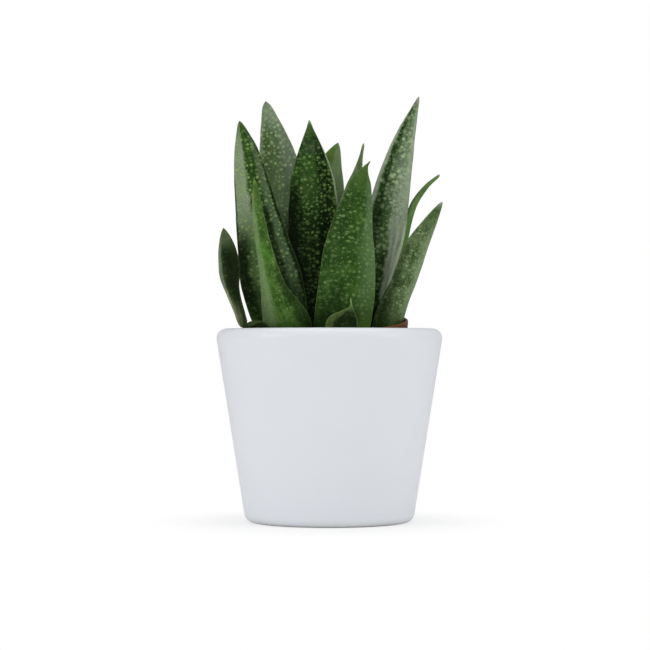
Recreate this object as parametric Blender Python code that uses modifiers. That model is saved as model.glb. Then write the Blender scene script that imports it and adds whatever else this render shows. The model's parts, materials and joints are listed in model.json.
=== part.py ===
"""A potted gasteria: three leafy shoots and a small offset, fleshy, keeled and pointed, growing in
a terracotta-coloured nursery pot that stands askew in a tapered white ceramic cover pot.

Metres, +Z up. The origin is the centre of the cover pot's foot on the table, and the side that
is usually seen faces -Y. Driving dimensions come first, and leaves are listed in millimetres.
"""

import math
from dataclasses import dataclass

import bmesh
import bpy
from mathutils import Matrix, Vector, noise

MM = 0.001
FIT_GAP = 0.3 * MM  # air left between pieces that rest on each other

# Cover pot: glazed ceramic, a plain taper with a soft lip and a soft foot
COVER_HEIGHT = 67.5 * MM
COVER_FOOT_RADIUS = 29.3 * MM  # where the side would meet the table without its rounding
COVER_TAPER = 0.159  # growth of the radius for each unit of height
COVER_FLOOR = 6.0 * MM
COVER_LIP_OUTER = 3.3 * MM
COVER_LIP_INNER = 1.3 * MM
COVER_FOOT_ROUND = 3.5 * MM
COVER_FLOOR_ROUND = 6.0 * MM
FOOT_RING_INNER = 21.5 * MM
FOOT_RECESS = 1.6 * MM
COVER_SEGMENTS = 60

# Nursery pot: thin plastic with a rim band and drain holes, tilted on the cover pot's floor
NURSERY_RIM_RADIUS = 28.3 * MM
NURSERY_BAND_DEPTH = 6.5 * MM
NURSERY_BAND_STEP = 1.1 * MM
NURSERY_FOOT_RADIUS = 17.8 * MM
NURSERY_WALL = 1.1 * MM
NURSERY_RIM_CENTRE = (-0.8 * MM, -1.0 * MM, 69.5 * MM)
NURSERY_TILT = math.radians(8.0)
NURSERY_HIGH_SIDE = math.radians(70.0)  # heading of the rim's highest point, from +X
NURSERY_SEGMENTS = 44  # its soil's too, so that their flat sides lie side by side
DRAIN_HOLES = 4
DRAIN_RADIUS = 2.6 * MM
DRAIN_RING_RADIUS = 11.0 * MM

# Soil: peaty mix, lumpy on top, filling the nursery pot to below its rim
SOIL_DEPTH = 9.0 * MM  # how far its level lies below the nursery pot's rim
SOIL_LUMP = 0.8 * MM
SOIL_LUMP_SIZE = 3.4 * MM
SOIL_RINGS = 8
SOIL_SEED = 11.0

# Crowns, and the round holes: how many sides each has, and how domed a crown is (1: half a ball)
ROUND_SEGMENTS = 18
CROWN_DOME = 0.6

# Leaves: how finely each is cut, and what all of them share
LEAF_SECTIONS = 14
MARGIN = 0.32 * MM  # half the thickness of the pale horny edge
ROOT_SHARE = 0.62  # a leaf's thickness at its root, as a share of its thickest
OUTER_STATIONS = (-0.93, -0.5, 0.0, 0.45, 0.93)  # across the keeled face, measured from its keel
INNER_STATIONS = (0.93, 0.5, 0.0, -0.5, -0.93)

# Colour, roughness
CERAMIC = ((0.83, 0.85, 0.87), 0.32)
PLASTIC = ((0.42, 0.13, 0.06), 0.55)
PEAT = ((0.05, 0.032, 0.02), 0.95)
STEM = ((0.30, 0.33, 0.14), 0.6)
LEAF_GREEN = ((0.07, 0.16, 0.05), 0.4)


@dataclass
class Crown:
    """A shoot's short stem: where it stands, how thick it is and how far it is in and out of soil."""

    name: str
    at: tuple
    radius: float
    top: float
    foot: float


@dataclass
class Leaf:
    """One leaf, in millimetres and degrees.

    spine runs from its root to its point, and widths gives (share of its length, width) pairs.
    faces is the heading of its keeled outer face, keel is the keel's place across it from -1 to
    1, and cup is how far its edges curl inwards.
    """

    name: str
    spine: tuple
    widths: tuple
    faces: float
    thickness: float = 4.4
    cup: float = 2.0
    keel: float = 0.0


CROWNS = (
    Crown("crown_left", (-16.4, -2.8), 6.3, 62.0, 47.0),
    Crown("crown_middle", (2.0, -1.8), 6.8, 63.4, 47.0),
    Crown("crown_right", (15.9, 0.7), 4.6, 64.1, 49.0),
    Crown("crown_offset", (5.2, -19.4), 2.3, 60.2, 51.0),
)

LEAVES = (
    Leaf(
        "leaf_left_low",
        ((-19.8, -12.2, 58.6), (-21.0, -14.2, 65.6), (-24.2, -16.2, 69.3), (-28.9, -17.4, 68.5),
         (-31.0, -16.7, 73.2), (-33.8, -14.6, 82.0), (-35.1, -12.4, 91.0), (-36.6, -11.0, 102.2)),
        ((0.0, 3.4), (0.25, 3.7), (0.42, 4.1), (0.57, 5.7), (0.73, 9.0), (0.84, 7.8), (0.93, 4.7),
         (1.0, 0.6)),
        faces=236, thickness=2.4, cup=0.5,
    ),
    Leaf(
        "leaf_left_tall",
        ((-15.2, 4.2, 61.6), (-17.9, 5.2, 71.0), (-21.5, 6.0, 86.0), (-26.4, 6.4, 110.6),
         (-29.6, 6.2, 130.0), (-31.8, 6.0, 141.1)),
        ((0.0, 11.0), (0.13, 20.7), (0.28, 22.4), (0.45, 19.0), (0.62, 15.0), (0.75, 12.1),
         (0.87, 8.5), (0.92, 5.9), (0.955, 3.9), (0.98, 2.3), (1.0, 0.8)),
        faces=104, cup=3.2, keel=0.1,
    ),
    Leaf(
        "leaf_left_front",
        ((-14.8, -10.4, 59.2), (-15.2, -11.8, 68.6), (-18.8, -12.4, 79.0), (-22.2, -12.6, 93.0),
         (-24.7, -12.2, 107.0), (-25.9, -11.6, 118.9)),
        ((0.0, 12.0), (0.13, 17.6), (0.26, 13.6), (0.38, 9.0), (0.6, 5.6), (0.8, 4.0), (0.94, 2.2),
         (1.0, 0.6)),
        faces=262, thickness=4.6, cup=2.4, keel=-0.15,
    ),
    Leaf(
        "leaf_left_edge",
        ((-21.6, 6.4, 61.2), (-26.2, 10.4, 80.0), (-30.0, 13.0, 100.0), (-31.3, 13.8, 117.0),
         (-31.0, 14.0, 130.0)),
        ((0.0, 5.0), (0.12, 7.0), (0.35, 11.0), (0.58, 10.6), (0.78, 7.4), (0.92, 3.4), (1.0, 0.6)),
        faces=140, thickness=3.6, cup=1.6,
    ),
    Leaf(
        "leaf_left_back_tall",
        ((-12.6, 11.2, 62.6), (-13.6, 15.0, 85.0), (-15.9, 16.8, 110.0), (-19.1, 17.0, 131.0),
         (-22.9, 17.0, 149.3)),
        ((0.0, 9.0), (0.3, 17.0), (0.55, 16.6), (0.72, 14.5), (0.87, 9.0), (0.925, 6.1),
         (0.955, 4.6), (0.98, 3.0), (1.0, 0.9)),
        faces=96, cup=2.6,
    ),
    Leaf(
        "leaf_left_back_low",
        ((-16.8, 14.6, 62.8), (-17.6, 17.0, 73.0), (-20.2, 21.4, 86.0), (-22.4, 25.4, 98.0)),
        ((0.0, 6.0), (0.35, 9.0), (0.65, 8.2), (0.88, 4.0), (1.0, 0.6)),
        faces=112, thickness=3.4, cup=1.2,
    ),
    Leaf(
        "leaf_left_heart",
        ((-16.5, -3.0, 62.5), (-17.0, -3.0, 70.0), (-18.6, -3.0, 80.4)),
        ((0.0, 4.4), (0.3, 6.4), (0.65, 4.8), (0.88, 2.2), (1.0, 0.6)),
        faces=262, thickness=2.4, cup=0.9,
    ),
    Leaf(
        "leaf_middle_front",
        ((3.4, -9.4, 61.0), (4.4, -11.0, 68.6), (5.9, -12.6, 80.0), (7.3, -13.2, 98.8),
         (10.0, -13.2, 113.3), (11.4, -13.0, 119.9), (12.6, -12.8, 123.1), (14.1, -12.6, 125.2)),
        ((0.0, 12.0), (0.12, 19.6), (0.25, 20.0), (0.45, 18.6), (0.65, 14.2), (0.8, 9.8),
         (0.88, 6.9), (0.93, 3.5), (0.96, 1.7), (0.98, 0.8), (1.0, 0.6)),
        faces=272, thickness=5.2, cup=2.4, keel=0.1,
    ),
    Leaf(
        "leaf_middle_tall",
        ((-2.4, 7.2, 62.2), (-4.0, 9.4, 80.0), (-5.5, 9.4, 100.0), (-6.0, 8.4, 120.0),
         (-7.1, 7.0, 141.6)),
        ((0.0, 9.0), (0.25, 15.6), (0.52, 18.2), (0.7, 16.4), (0.82, 11.6), (0.91, 6.0),
         (0.97, 2.0), (1.0, 0.6)),
        faces=92, cup=1.8,
    ),
    Leaf(
        "leaf_middle_spike",
        ((8.8, 3.8, 62.5), (8.2, 3.2, 85.0), (8.0, 2.4, 108.0), (9.9, 2.0, 121.0),
         (12.1, 2.0, 132.8)),
        ((0.0, 5.0), (0.35, 11.4), (0.6, 11.0), (0.77, 7.1), (0.87, 3.0), (0.95, 1.0), (1.0, 0.6)),
        faces=62, thickness=3.6, cup=1.4,
    ),
    Leaf(
        "leaf_middle_back",
        ((1.8, 13.2, 63.6), (-0.2, 17.8, 85.0), (-1.2, 19.8, 110.0), (-0.2, 20.2, 124.0),
         (3.2, 20.2, 134.8)),
        ((0.0, 8.0), (0.35, 14.0), (0.62, 14.0), (0.78, 12.3), (0.88, 8.6), (0.95, 4.6), (1.0, 0.8)),
        faces=90, thickness=4.0, cup=2.0,
    ),
    Leaf(
        "leaf_middle_back_left",
        ((-6.8, 16.2, 63.8), (-8.0, 22.8, 84.0), (-7.8, 27.4, 104.0), (-7.8, 29.6, 117.0)),
        ((0.0, 7.0), (0.35, 12.4), (0.62, 11.4), (0.85, 6.2), (1.0, 0.6)),
        faces=98, thickness=4.2, cup=2.2,
    ),
    Leaf(
        "leaf_middle_back_right",
        ((7.6, 15.2, 64.3), (8.2, 21.2, 76.0), (8.6, 26.2, 88.0), (8.2, 29.2, 98.0)),
        ((0.0, 7.0), (0.35, 12.0), (0.65, 9.6), (0.88, 4.2), (1.0, 0.6)),
        faces=84, thickness=3.8, cup=1.8,
    ),
    Leaf(
        "leaf_middle_heart",
        ((1.6, -2.0, 63.8), (2.4, -2.6, 76.0), (4.6, -3.2, 96.0)),
        ((0.0, 5.0), (0.3, 8.6), (0.6, 6.8), (0.85, 3.0), (1.0, 0.6)),
        faces=258, thickness=3.0, cup=1.2,
    ),
    Leaf(
        "leaf_right_tall",
        ((12.2, 7.0, 63.1), (14.2, 9.0, 80.0), (19.5, 9.4, 100.0), (23.4, 9.0, 120.0),
         (27.0, 8.2, 135.0), (31.8, 7.4, 149.9)),
        ((0.0, 8.0), (0.2, 13.6), (0.42, 15.5), (0.58, 13.6), (0.72, 10.6), (0.86, 6.2), (0.94, 3.0),
         (1.0, 0.6)),
        faces=76, thickness=4.6, cup=2.6, keel=0.1,
    ),
    Leaf(
        "leaf_right_heart",
        ((16.2, 0.9, 64.6), (19.4, 1.0, 73.0), (22.4, 1.0, 81.0), (25.0, 1.0, 89.0)),
        ((0.0, 3.6), (0.3, 6.0), (0.62, 5.0), (0.86, 2.4), (1.0, 0.6)),
        faces=288, thickness=2.4, cup=0.9,
    ),
    Leaf(
        "leaf_right_low",
        ((20.1, -3.4, 62.3), (22.4, -3.8, 72.5), (26.6, -4.0, 83.6), (31.1, -4.4, 95.9),
         (35.7, -5.0, 104.9), (39.3, -5.6, 111.6)),
        ((0.0, 7.8), (0.14, 11.8), (0.22, 11.9), (0.36, 10.4), (0.5, 10.8), (0.65, 10.1), (0.82, 6.6),
         (0.92, 3.6), (1.0, 0.6)),
        faces=306, thickness=3.8, cup=1.4,
    ),
    Leaf(
        "leaf_right_curved",
        ((21.2, 5.8, 63.3), (22.6, 8.2, 74.0), (24.1, 10.8, 86.0), (26.3, 12.2, 99.4),
         (29.8, 11.8, 111.7), (34.3, 10.4, 118.2), (39.2, 9.2, 122.3)),
        ((0.0, 5.0), (0.35, 7.0), (0.6, 5.6), (0.8, 4.2), (0.92, 2.0), (1.0, 0.6)),
        faces=8, thickness=2.8, cup=0.8,
    ),
    Leaf(
        "leaf_right_back",
        ((15.8, 13.0, 63.9), (16.2, 15.2, 73.5), (19.2, 20.2, 87.0), (21.0, 24.6, 100.0),
         (21.4, 27.4, 110.0)),
        ((0.0, 6.0), (0.35, 10.4), (0.62, 9.6), (0.86, 5.0), (1.0, 0.6)),
        faces=70, thickness=4.0, cup=1.8,
    ),
    Leaf(
        "leaf_offset_back",
        ((4.6, -16.4, 59.8), (4.7, -16.9, 68.3), (6.3, -17.4, 71.7), (7.4, -17.8, 74.8),
         (7.2, -18.2, 77.8)),
        ((0.0, 7.0), (0.45, 12.3), (0.57, 9.5), (0.66, 7.1), (0.74, 4.5), (0.83, 1.4), (0.9, 0.7),
         (1.0, 0.6)),
        faces=92, thickness=2.2, cup=0.9,
    ),
    Leaf(
        "leaf_offset_front",
        ((5.6, -22.4, 58.4), (5.8, -23.0, 62.2), (5.6, -23.6, 66.0)),
        ((0.0, 4.0), (0.4, 5.4), (0.8, 2.8), (1.0, 0.6)),
        faces=270, thickness=1.4, cup=0.4,
    ),
)


def mm(x, y, z):
    """A point given in millimetres."""
    return Vector((x, y, z)) * MM


def make_material(name, finish):
    """A plain Principled material from a (colour, roughness) pair."""
    colour, roughness = finish
    material = bpy.data.materials.new(name)
    material.use_nodes = True
    shader = material.node_tree.nodes["Principled BSDF"]
    shader.inputs["Base Color"].default_value = (*colour, 1.0)
    shader.inputs["Roughness"].default_value = roughness
    return material


def new_object(name, mesh, collection, finish=None):
    """An object of that mesh in the collection, with a material of its own."""
    obj = bpy.data.objects.new(name, mesh)
    collection.objects.link(obj)
    if finish:
        mesh.materials.append(make_material(name, finish))
    return obj


def bake(obj):
    """Turns the object's evaluated shape into its own mesh, with no modifiers left."""
    bpy.context.view_layer.update()
    evaluated = obj.evaluated_get(bpy.context.evaluated_depsgraph_get())
    mesh = bpy.data.meshes.new_from_object(evaluated)
    obj.modifiers.clear()
    obj.data = mesh


def arc(centre, radius, start, end, count):
    """Points of a round stretch of a profile, angles in degrees, both ends included."""
    angles = [math.radians(start + (end - start) * i / (count - 1)) for i in range(count)]
    return [(centre[0] + radius * math.cos(a), centre[1] + radius * math.sin(a)) for a in angles]


def turned(name, profile, steps, collection, finish):
    """A solid turned round Z from (radius, height) points that run down its outer side."""
    mesh = bpy.data.meshes.new(name)
    edges = [(i, i + 1) for i in range(len(profile) - 1)]
    mesh.from_pydata([(r, 0.0, z) for r, z in profile], edges, [])
    obj = new_object(name, mesh, collection, finish)
    screw = obj.modifiers.new("Turn", "SCREW")
    screw.axis = "Z"
    screw.steps = screw.render_steps = steps
    screw.use_merge_vertices = True
    screw.merge_threshold = 0.00002
    return obj


def cut(obj, cutters):
    """Takes each cutter out of the object."""
    for cutter in cutters:
        boolean = obj.modifiers.new("Cut " + cutter.name, "BOOLEAN")
        boolean.operation = "DIFFERENCE"
        boolean.solver = "EXACT"
        boolean.object = cutter


def round_cutter(name, radius, centre, height, collection):
    """A hidden upright cylinder to cut a round hole with."""
    shape = bmesh.new()
    bmesh.ops.create_cone(
        shape, cap_ends=True, segments=ROUND_SEGMENTS, radius1=radius, radius2=radius, depth=height
    )
    bmesh.ops.translate(shape, vec=Vector(centre), verts=shape.verts)
    mesh = bpy.data.meshes.new(name)
    shape.to_mesh(mesh)
    shape.free()
    cutter = new_object(name, mesh, collection)
    cutter.hide_render = True
    cutter.display_type = "WIRE"
    return cutter


def side_round(height, radius, inset):
    """Centre of a rounding that is tangent to the cover pot's side, or to a line inset from it."""
    slant = math.hypot(1.0, COVER_TAPER)
    return COVER_FOOT_RADIUS + COVER_TAPER * height - inset - radius * slant, height


def make_cover_pot(collection):
    """The white pot: inside floor, inside wall, lip, outside wall, rounded foot and recess."""
    lean = math.degrees(math.atan(COVER_TAPER))
    wall = COVER_LIP_OUTER + COVER_LIP_INNER
    floor_bend = side_round(COVER_FLOOR + COVER_FLOOR_ROUND, COVER_FLOOR_ROUND, wall)
    lip_in = side_round(COVER_HEIGHT - COVER_LIP_INNER, -COVER_LIP_INNER, wall)
    lip_out = side_round(COVER_HEIGHT - COVER_LIP_OUTER, COVER_LIP_OUTER, 0.0)
    foot_bend = side_round(COVER_FOOT_ROUND, COVER_FOOT_ROUND, 0.0)
    profile = [(0.0, COVER_FLOOR)]
    profile += arc(floor_bend, COVER_FLOOR_ROUND, -90, -lean, 4)
    profile += arc(lip_in, COVER_LIP_INNER, 180 - lean, 90, 3)
    profile += arc(lip_out, COVER_LIP_OUTER, 90, -lean, 5)
    profile += arc(foot_bend, COVER_FOOT_ROUND, -lean, -90, 4)
    profile += [(FOOT_RING_INNER, 0.0), (FOOT_RING_INNER - FOOT_RECESS, FOOT_RECESS)]
    profile += [(0.0, FOOT_RECESS)]
    return turned("cover_pot", profile, COVER_SEGMENTS, collection, CERAMIC)


def nursery_height():
    """How tall the nursery pot is, so that its tilted foot just clears the cover pot's floor."""
    drop = NURSERY_RIM_CENTRE[2] - COVER_FLOOR - FIT_GAP
    lowest = NURSERY_FOOT_RADIUS * math.sin(NURSERY_TILT)
    return (drop - lowest) / math.cos(NURSERY_TILT)


def nursery_frame(collection):
    """An empty at the nursery pot's rim centre, tilted up on one side, that carries its pieces."""
    frame = bpy.data.objects.new("nursery_frame", None)
    collection.objects.link(frame)
    axis = Vector((math.sin(NURSERY_HIGH_SIDE), -math.cos(NURSERY_HIGH_SIDE), 0.0))
    tilt = Matrix.Rotation(NURSERY_TILT, 4, axis)
    frame.matrix_world = Matrix.Translation(NURSERY_RIM_CENTRE) @ tilt
    return frame


def nursery_inner_radius(depth):
    """The nursery pot's inside radius that far below its rim, under its band."""
    top = NURSERY_RIM_RADIUS - NURSERY_BAND_STEP - NURSERY_WALL
    foot = NURSERY_FOOT_RADIUS - NURSERY_WALL
    return top + (foot - top) * depth / nursery_height()


def make_nursery_pot(frame, collection, cutters):
    """The plastic pot, with a stepped band under its rim and drain holes in its floor."""
    height = nursery_height()
    floor = NURSERY_WALL - height
    band_inner = NURSERY_RIM_RADIUS - NURSERY_WALL
    step_depth = NURSERY_BAND_DEPTH + NURSERY_WALL
    profile = [
        (0.0, floor),
        (nursery_inner_radius(height - NURSERY_WALL), floor),
        (nursery_inner_radius(step_depth), -step_depth),
        (band_inner - 0.4 * MM, -NURSERY_BAND_DEPTH + 0.4 * MM),
        (band_inner, 0.0),
        (NURSERY_RIM_RADIUS - 0.3 * MM, 0.0),
        (NURSERY_RIM_RADIUS, -0.3 * MM),
        (NURSERY_RIM_RADIUS - 0.4 * MM, -NURSERY_BAND_DEPTH),
        (nursery_inner_radius(step_depth) + NURSERY_WALL, -step_depth),
        (NURSERY_FOOT_RADIUS, -height + 0.7 * MM),
        (NURSERY_FOOT_RADIUS - 0.7 * MM, -height),
        (0.0, -height),
    ]
    pot = turned("nursery_pot", profile, NURSERY_SEGMENTS, collection, PLASTIC)
    pot.parent = frame
    holes = []
    for i in range(DRAIN_HOLES):
        angle = math.tau * (i + 0.5) / DRAIN_HOLES
        spot = (DRAIN_RING_RADIUS * math.cos(angle), DRAIN_RING_RADIUS * math.sin(angle), -height)
        hole = round_cutter(f"drain_{i}", DRAIN_RADIUS, spot, 4 * NURSERY_WALL, cutters)
        hole.parent = frame
        holes.append(hole)
    cut(pot, holes)
    return pot


def make_soil(frame, collection, cutters):
    """The soil plug: a taper that fits the nursery pot, lumpy on top, a plain hole for each crown."""
    top = -SOIL_DEPTH
    bottom = NURSERY_WALL + FIT_GAP - nursery_height()
    top_radius = nursery_inner_radius(SOIL_DEPTH) - FIT_GAP
    foot_radius = nursery_inner_radius(-bottom) - FIT_GAP
    profile = [(top_radius * i / SOIL_RINGS, top) for i in range(SOIL_RINGS)]
    profile += [(top_radius, top - SOIL_LUMP), (foot_radius, bottom), (0.0, bottom)]
    soil = turned("potting_soil", profile, NURSERY_SEGMENTS, collection, PEAT)
    bake(soil)
    for vertex in soil.data.vertices:
        if vertex.co.z > top - 0.5 * SOIL_LUMP:
            spot = vertex.co / SOIL_LUMP_SIZE + Vector((0.0, 0.0, SOIL_SEED))
            vertex.co.z += SOIL_LUMP * noise.noise(spot)
    soil.parent = frame
    holes = []
    for crown in CROWNS:
        radius = crown.radius * MM + FIT_GAP
        depth = (crown.top - crown.foot) * MM + FIT_GAP
        centre = mm(*crown.at, crown.foot) + Vector((0.0, 0.0, depth / 2 - FIT_GAP))
        holes.append(round_cutter("hole_" + crown.name, radius, centre, depth, cutters))
    cut(soil, holes)
    return soil


def make_crown(crown, collection):
    """The short stem that a shoot's leaves grow from: a stub with a domed top, rooted in soil."""
    radius = crown.radius * MM
    height = (crown.top - crown.foot) * MM
    dome = arc((0.0, 0.0), radius, 90, 0, 4)
    profile = [(r, height + CROWN_DOME * (z - radius)) for r, z in dome]
    profile[0] = (0.0, height)
    profile += [(radius, height * 0.4), (radius * 0.5, 0.0), (0.0, 0.0)]
    stem = turned(crown.name, profile, ROUND_SEGMENTS, collection, STEM)
    stem.location = mm(*crown.at, crown.foot)
    return stem


def hermite(low, high, slopes, span, s):
    """A value or point at share s of a cubic stretch, and how fast it changes there."""
    value = (
        low * (2 * s**3 - 3 * s**2 + 1)
        + slopes[0] * span * (s**3 - 2 * s**2 + s)
        + high * (3 * s**2 - 2 * s**3)
        + slopes[1] * span * (s**3 - s**2)
    )
    change = (
        low * (6 * s**2 - 6 * s) / span
        + slopes[0] * (3 * s**2 - 4 * s + 1)
        + high * (6 * s - 6 * s**2) / span
        + slopes[1] * (3 * s**2 - 2 * s)
    )
    return value, change


def between(stations, t):
    """A value at share t of a smooth curve through (share, value) pairs that never overshoots."""
    rises = [(b[1] - a[1]) / (b[0] - a[0]) for a, b in zip(stations, stations[1:])]
    i = 0
    while i < len(rises) - 1 and t > stations[i + 1][0]:
        i += 1
    slopes = []
    for beside in (rises[max(i - 1, 0) : i + 1], rises[i : i + 2]):
        level = min(beside) * max(beside) <= 0.0
        slopes.append(0.0 if level else len(beside) / sum(1.0 / rise for rise in beside))
    (start, low), (end, high) = stations[i], stations[i + 1]
    return hermite(low, high, slopes, end - start, (t - start) / (end - start))[0]


def along(points, t):
    """Place and heading at share t of a smooth curve through the points, spaced by distance."""
    knots = [0.0]
    for before, after in zip(points, points[1:]):
        knots.append(knots[-1] + (after - before).length)
    last = len(points) - 1
    distance = t * knots[-1]
    i = 0
    while i < last - 1 and distance > knots[i + 1]:
        i += 1
    slopes = []
    for j in (i, i + 1):
        low, high = max(j - 1, 0), min(j + 1, last)
        slopes.append((points[high] - points[low]) / (knots[high] - knots[low]))
    span = knots[i + 1] - knots[i]
    share = (distance - knots[i]) / span
    place, heading = hermite(points[i], points[i + 1], slopes, span, share)
    return place, heading.normalized()


def smooth(x):
    """0 to 1 with level ends."""
    x = min(max(x, 0.0), 1.0)
    return x * x * (3 - 2 * x)


def outer_height(u, keel, t):
    """How far the outer face stands out at u across it: swollen low down, keeled higher up."""
    swell = 0.52 * (1 - abs(u) ** 2.2)
    reach = (1 - keel) if u > keel else (1 + keel)
    ridge = max(0.0, 1 - abs(u - keel) / reach)
    return swell * (1 - 0.45 * smooth(t / 0.6)) + 0.5 * ridge * smooth(t / 0.6 + 0.2)


def inner_height(u):
    """How deep the inner face lies at u across it, which is nearly flat."""
    return -0.34 * (1 - u * u)


def leaf_ring(leaf, t):
    """The outline of one cut through the blade, as points round it from edge to edge and back."""
    place, heading = along([mm(*p) for p in leaf.spine], t)
    facing = math.radians(leaf.faces)
    across = Vector((-math.sin(facing), math.cos(facing), 0.0))
    across = (across - across.dot(heading) * heading).normalized()
    outward = across.cross(heading)
    width = between(leaf.widths, t)
    half = max(width / 2 * MM, MARGIN)
    share = min(1.0, width / max(w for _, w in leaf.widths))
    swelling = ROOT_SHARE + (1 - ROOT_SHARE) * smooth(t / 0.2)
    flesh = leaf.thickness * MM * swelling * share**0.75 * (1 - 0.3 * t)
    cup = leaf.cup * MM * share
    outline = [(-1.0, 0.0)]
    for station in OUTER_STATIONS:
        u = station if abs(station) > 0.9 else leaf.keel + station * (1 - abs(leaf.keel))
        outline.append((u, MARGIN + flesh * outer_height(u, leaf.keel, t)))
    outline.append((1.0, 0.0))
    outline += [(u, -MARGIN + flesh * inner_height(u)) for u in INNER_STATIONS]
    return [place + across * (u * half) + outward * (lift - cup * u * u) for u, lift in outline]


def make_leaf(leaf, collection):
    """One fleshy leaf, lofted through its cuts, which lie closer together near its point."""
    rings = []
    for i in range(LEAF_SECTIONS):
        s = i / (LEAF_SECTIONS - 1)
        rings.append(leaf_ring(leaf, 0.5 * s + 0.5 * math.sin(s * math.pi / 2)))
    sides = len(rings[0])
    verts = [point for ring in rings for point in ring]
    faces = [tuple(range(sides))]
    for low in range(0, len(verts) - sides, sides):
        for j in range(sides):
            k = (j + 1) % sides
            faces.append((low + j, low + sides + j, low + sides + k, low + k))
    faces.append(tuple(reversed(range(len(verts) - sides, len(verts)))))
    mesh = bpy.data.meshes.new(leaf.name)
    mesh.from_pydata(verts, [], faces)
    shape = bmesh.new()
    shape.from_mesh(mesh)
    bmesh.ops.recalc_face_normals(shape, faces=shape.faces)
    shape.to_mesh(mesh)
    shape.free()
    mesh.shade_smooth()
    mesh.set_sharp_from_angle(angle=math.radians(50))
    return new_object(leaf.name, mesh, collection, LEAF_GREEN)


def main():
    """Clears the scene and builds every piece."""
    for obj in list(bpy.data.objects):
        bpy.data.objects.remove(obj)
    parts = bpy.data.collections.new("potted_gasteria")
    cutters = bpy.data.collections.new("cutters")
    bpy.context.scene.collection.children.link(parts)
    bpy.context.scene.collection.children.link(cutters)
    make_cover_pot(parts)
    frame = nursery_frame(parts)
    make_nursery_pot(frame, parts, cutters)
    make_soil(frame, parts, cutters)
    for crown in CROWNS:
        make_crown(crown, parts)
    for leaf in LEAVES:
        make_leaf(leaf, parts)


main()
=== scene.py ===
"""Looks of a potted gasteria: spotted fleshy leaves, crowns, soil, nursery pot and cover pot.

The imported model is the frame. Each class builds one sub-assembly as finer meshes on the driving
sizes of its solids, dresses it, and hands its pieces to the frame. Sizes in the classes are in
millimetres and degrees. Meshes are in metres, +Z up, and the side usually seen faces -Y.
"""

import json
import logging
import math
from dataclasses import dataclass, field
from enum import Enum
from functools import cache, reduce

import bmesh
import bpy
from bpy.types import Material, Mesh, Node, NodeSocket as Socket, NodeTree, Object
from mathutils import Matrix, Vector, noise

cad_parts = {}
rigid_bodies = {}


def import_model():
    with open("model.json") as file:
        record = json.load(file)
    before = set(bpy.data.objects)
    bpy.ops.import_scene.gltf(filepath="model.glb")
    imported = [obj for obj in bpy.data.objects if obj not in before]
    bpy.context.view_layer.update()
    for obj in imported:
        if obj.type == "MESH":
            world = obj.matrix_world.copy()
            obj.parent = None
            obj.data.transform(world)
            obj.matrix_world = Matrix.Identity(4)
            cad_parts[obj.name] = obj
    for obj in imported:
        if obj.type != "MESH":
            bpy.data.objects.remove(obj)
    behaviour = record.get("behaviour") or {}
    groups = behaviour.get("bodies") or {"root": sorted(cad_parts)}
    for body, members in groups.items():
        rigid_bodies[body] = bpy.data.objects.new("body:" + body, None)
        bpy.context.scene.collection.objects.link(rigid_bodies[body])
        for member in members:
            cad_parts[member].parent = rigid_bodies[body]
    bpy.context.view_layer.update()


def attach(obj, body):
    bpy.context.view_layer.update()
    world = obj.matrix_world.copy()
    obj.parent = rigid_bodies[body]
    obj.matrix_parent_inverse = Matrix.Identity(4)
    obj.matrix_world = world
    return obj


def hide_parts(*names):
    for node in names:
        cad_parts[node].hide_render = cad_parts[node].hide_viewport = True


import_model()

MM = 0.001
SHARP = math.radians(42)  # turned edges steeper than this stay sharp
BODY = "root"
LOG = logging.getLogger("gasteria")
WHITE = (1.0, 1.0, 1.0, 1.0)

Pair = tuple[float, float]
Point = tuple[float, float, float]
Tone = tuple[float, float, float]
Inputs = dict | list | tuple


def shade(tone: Tone) -> tuple[float, ...]:
    """The linear colour of a tone.

    Args:
        tone: its red, green and blue as a screen shows them, 0 to 255.

    Returns:
        Its red, green, blue and alpha, 0 to 1.
    """
    shares = [value / 255 for value in tone]
    return *(s / 12.92 if s <= 0.04045 else ((s + 0.055) / 1.055) ** 2.4 for s in shares), 1.0


class Slot(Enum):
    """The record's material slots."""

    CERAMIC = "ceramic"
    PLASTIC = "plastic"
    SOIL = "soil"
    STEM = "stem"
    LEAF = "leaf"


# Node helpers


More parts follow.
